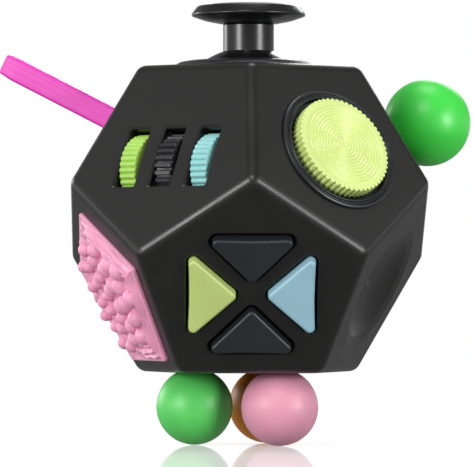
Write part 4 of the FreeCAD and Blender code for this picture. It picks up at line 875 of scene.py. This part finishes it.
def balls():
    """The large ball on its side face and the three balls the toy stands on."""
    ball(
        "large_ball_cast", radius=6.76 * MM, height=9.8 * MM, neck=2.4 * MM, x=0.0, y=0.0,
        face="side_ball", body="large_ball", slot="large_ball_silicone", nodes=["side_ball"],
        low=-1.5 * MM, straight=1.4 * MM, flare=0.8 * MM,
    )
    for name, turn in FOOT_TURNS.items():
        angle = math.radians(turn)
        ball(
            "foot_ball_" + name + "_cast", radius=5.86 * MM, height=5.25 * MM, neck=2.0 * MM,
            x=FOOT_CIRCLE * math.sin(angle), y=FOOT_CIRCLE * math.cos(angle),
            face="feet", body=name + "_ball", slot=name + "_ball_silicone",
            nodes=["foot_ball_" + name], low=-3.0 * MM, straight=-0.3 * MM, flare=0.0,
        )


# ---- Stage ---------------------------------------------------------------------
FLOOR_RADIUS = 0.5
FLOOR_GLOW = 0.56
MIRROR = 0.58
CARD_RADIUS = 0.505
CARD_HEIGHT = 0.1
RIM_STEPS = 96
ROOM_LIGHT = 0.25
SOFTBOXES = {
    "front": ((-0.15, -0.75, 0.70), (0.30, 0.30), 2.6),
    "left_front": ((-0.72, -0.70, 0.20), (0.26, 0.34), 5.4),
    "right_front": ((0.80, -0.62, 0.14), (0.30, 0.36), 6.0),
    "left_low": ((-0.90, -0.30, -0.02), (0.25, 0.25), 2.6),
    "left_panel": ((-0.80, -0.12, 0.62), (0.45, 0.45), 0.25),
    "right_panel": ((0.80, -0.20, 0.50), (0.35, 0.35), 0.4),
    "top": ((0.05, 0.15, 0.90), (0.40, 0.25), 1.8),
    "back": ((0.25, 0.95, 0.50), (0.45, 0.30), 3.0),
    "back_left": ((-0.75, 0.65, 0.25), (0.30, 0.30), 2.4),
}
CAMERA_DISTANCE = 0.676
CAMERA_TURN = math.radians(-1.39)
CAMERA_RISE = math.radians(-1.03)
CAMERA_LENS = 334.4
CAMERA_SHIFT = (-0.0243, -0.0295)


def camera():
    """A long lens, a little below the middle of the casing."""
    data = bpy.data.cameras.new("camera")
    data.lens = CAMERA_LENS
    data.sensor_width = 36.0
    data.shift_x, data.shift_y = CAMERA_SHIFT
    data.clip_start = 0.01
    made = bpy.data.objects.new("camera", data)
    back = Vector((
        math.sin(CAMERA_TURN) * math.cos(CAMERA_RISE),
        -math.cos(CAMERA_TURN) * math.cos(CAMERA_RISE),
        math.sin(CAMERA_RISE),
    ))
    made.location = CENTRE + back * CAMERA_DISTANCE
    made.rotation_euler = (-back).to_track_quat("-Z", "Y").to_euler()
    bpy.context.scene.collection.objects.link(made)
    bpy.context.scene.camera = made


def softbox(name, place, size, power):
    """A rectangular soft light aimed at the toy."""
    data = bpy.data.lights.new(name, "AREA")
    data.shape = "RECTANGLE"
    data.size, data.size_y = size
    data.energy = power
    made = bpy.data.objects.new(name, data)
    made.location = place
    aim = CENTRE - Vector(place)
    made.rotation_euler = aim.to_track_quat("-Z", "Y").to_euler()
    bpy.context.scene.collection.objects.link(made)


def white_floor():
    """Floor of white acrylic, lit from within like a studio table. It is nearly
    plain from above and mirrors the toy when it is seen at a low angle."""
    mesh = bpy.data.meshes.new("white_floor")
    verts = []
    for index in range(RIM_STEPS):
        angle = 2.0 * math.pi * index / RIM_STEPS
        verts.append((FLOOR_RADIUS * math.cos(angle), FLOOR_RADIUS * math.sin(angle), 0.0))
    mesh.from_pydata(verts, [], [tuple(range(RIM_STEPS))])
    made, tree, output, place = new_material("white_acrylic")
    shader = add(
        tree, "ShaderNodeBsdfPrincipled",
        values={
            "Base Color": (0.9, 0.9, 0.9, 1.0),
            "Roughness": 0.9,
            "Specular IOR Level": 0.0,
            "Emission Color": (1.0, 1.0, 1.0, 1.0),
            "Emission Strength": FLOOR_GLOW,
        },
    )
    mirror = add(
        tree, "ShaderNodeBsdfGlossy",
        values={"Color": (1.0, 1.0, 1.0, 1.0), "Roughness": 0.05},
    )
    facing = add(tree, "ShaderNodeLayerWeight", values={"Blend": 0.5})
    shallow = add(
        tree, "ShaderNodeMapRange",
        values={"From Min": 0.80, "From Max": 0.96, "To Min": 0.04, "To Max": MIRROR},
        links={"Value": facing.outputs["Facing"]},
    )
    both = add(
        tree, "ShaderNodeMixShader",
        links={"Fac": shallow.outputs["Result"]},
    )
    tree.links.new(shader.outputs["BSDF"], both.inputs[1])
    tree.links.new(mirror.outputs["BSDF"], both.inputs[2])
    tree.links.new(both.outputs["Shader"], output.inputs["Surface"])
    mesh.materials.append(made)
    floor = bpy.data.objects.new("white_floor", mesh)
    floor.visible_glossy = False
    floor.visible_diffuse = False
    bpy.context.scene.collection.objects.link(floor)


def white_card():
    """A low white card round the floor's rim that only its mirror shows."""
    mesh = bpy.data.meshes.new("white_card")
    verts = []
    faces = []
    for index in range(RIM_STEPS):
        angle = 2.0 * math.pi * index / RIM_STEPS
        x = CARD_RADIUS * math.cos(angle)
        y = CARD_RADIUS * math.sin(angle)
        verts += [(x, y, 0.0), (x, y, CARD_HEIGHT)]
        low = 2 * index
        after = 2 * ((index + 1) % RIM_STEPS)
        faces.append((low, after, after + 1, low + 1))
    mesh.from_pydata(verts, [], faces)
    made, tree, output, place = new_material("lit_card")
    glow = add(
        tree, "ShaderNodeEmission",
        values={"Color": (1.0, 1.0, 1.0, 1.0), "Strength": 1.0},
    )
    tree.links.new(glow.outputs["Emission"], output.inputs["Surface"])
    mesh.materials.append(made)
    card = bpy.data.objects.new("white_card", mesh)
    card.visible_camera = False
    card.visible_diffuse = False
    card.visible_shadow = False
    bpy.context.scene.collection.objects.link(card)


def lights():
    """A white backdrop in a dim room, lit by softboxes."""
    world = bpy.data.worlds.new("studio")
    world.use_nodes = True
    tree = world.node_tree
    tree.nodes.clear()
    seen = add(tree, "ShaderNodeLightPath")
    room = add(
        tree, "ShaderNodeMapRange",
        values={"To Min": ROOM_LIGHT, "To Max": 1.0},
        links={"Value": seen.outputs["Is Camera Ray"]},
    )
    sky = add(
        tree, "ShaderNodeBackground",
        values={"Color": (1.0, 1.0, 1.0, 1.0)},
        links={"Strength": room.outputs["Result"]},
    )
    output = add(tree, "ShaderNodeOutputWorld")
    tree.links.new(sky.outputs["Background"], output.inputs["Surface"])
    bpy.context.scene.world = world
    bpy.context.scene.view_settings.view_transform = "Standard"
    for name, (place, size, power) in SOFTBOXES.items():
        softbox(name, place, size, power)


finish_cad_nodes()
joystick()
dial()
rollers()
buttons()
texture_pad()
strap()
balls()
camera()
white_floor()
white_card()
lights()
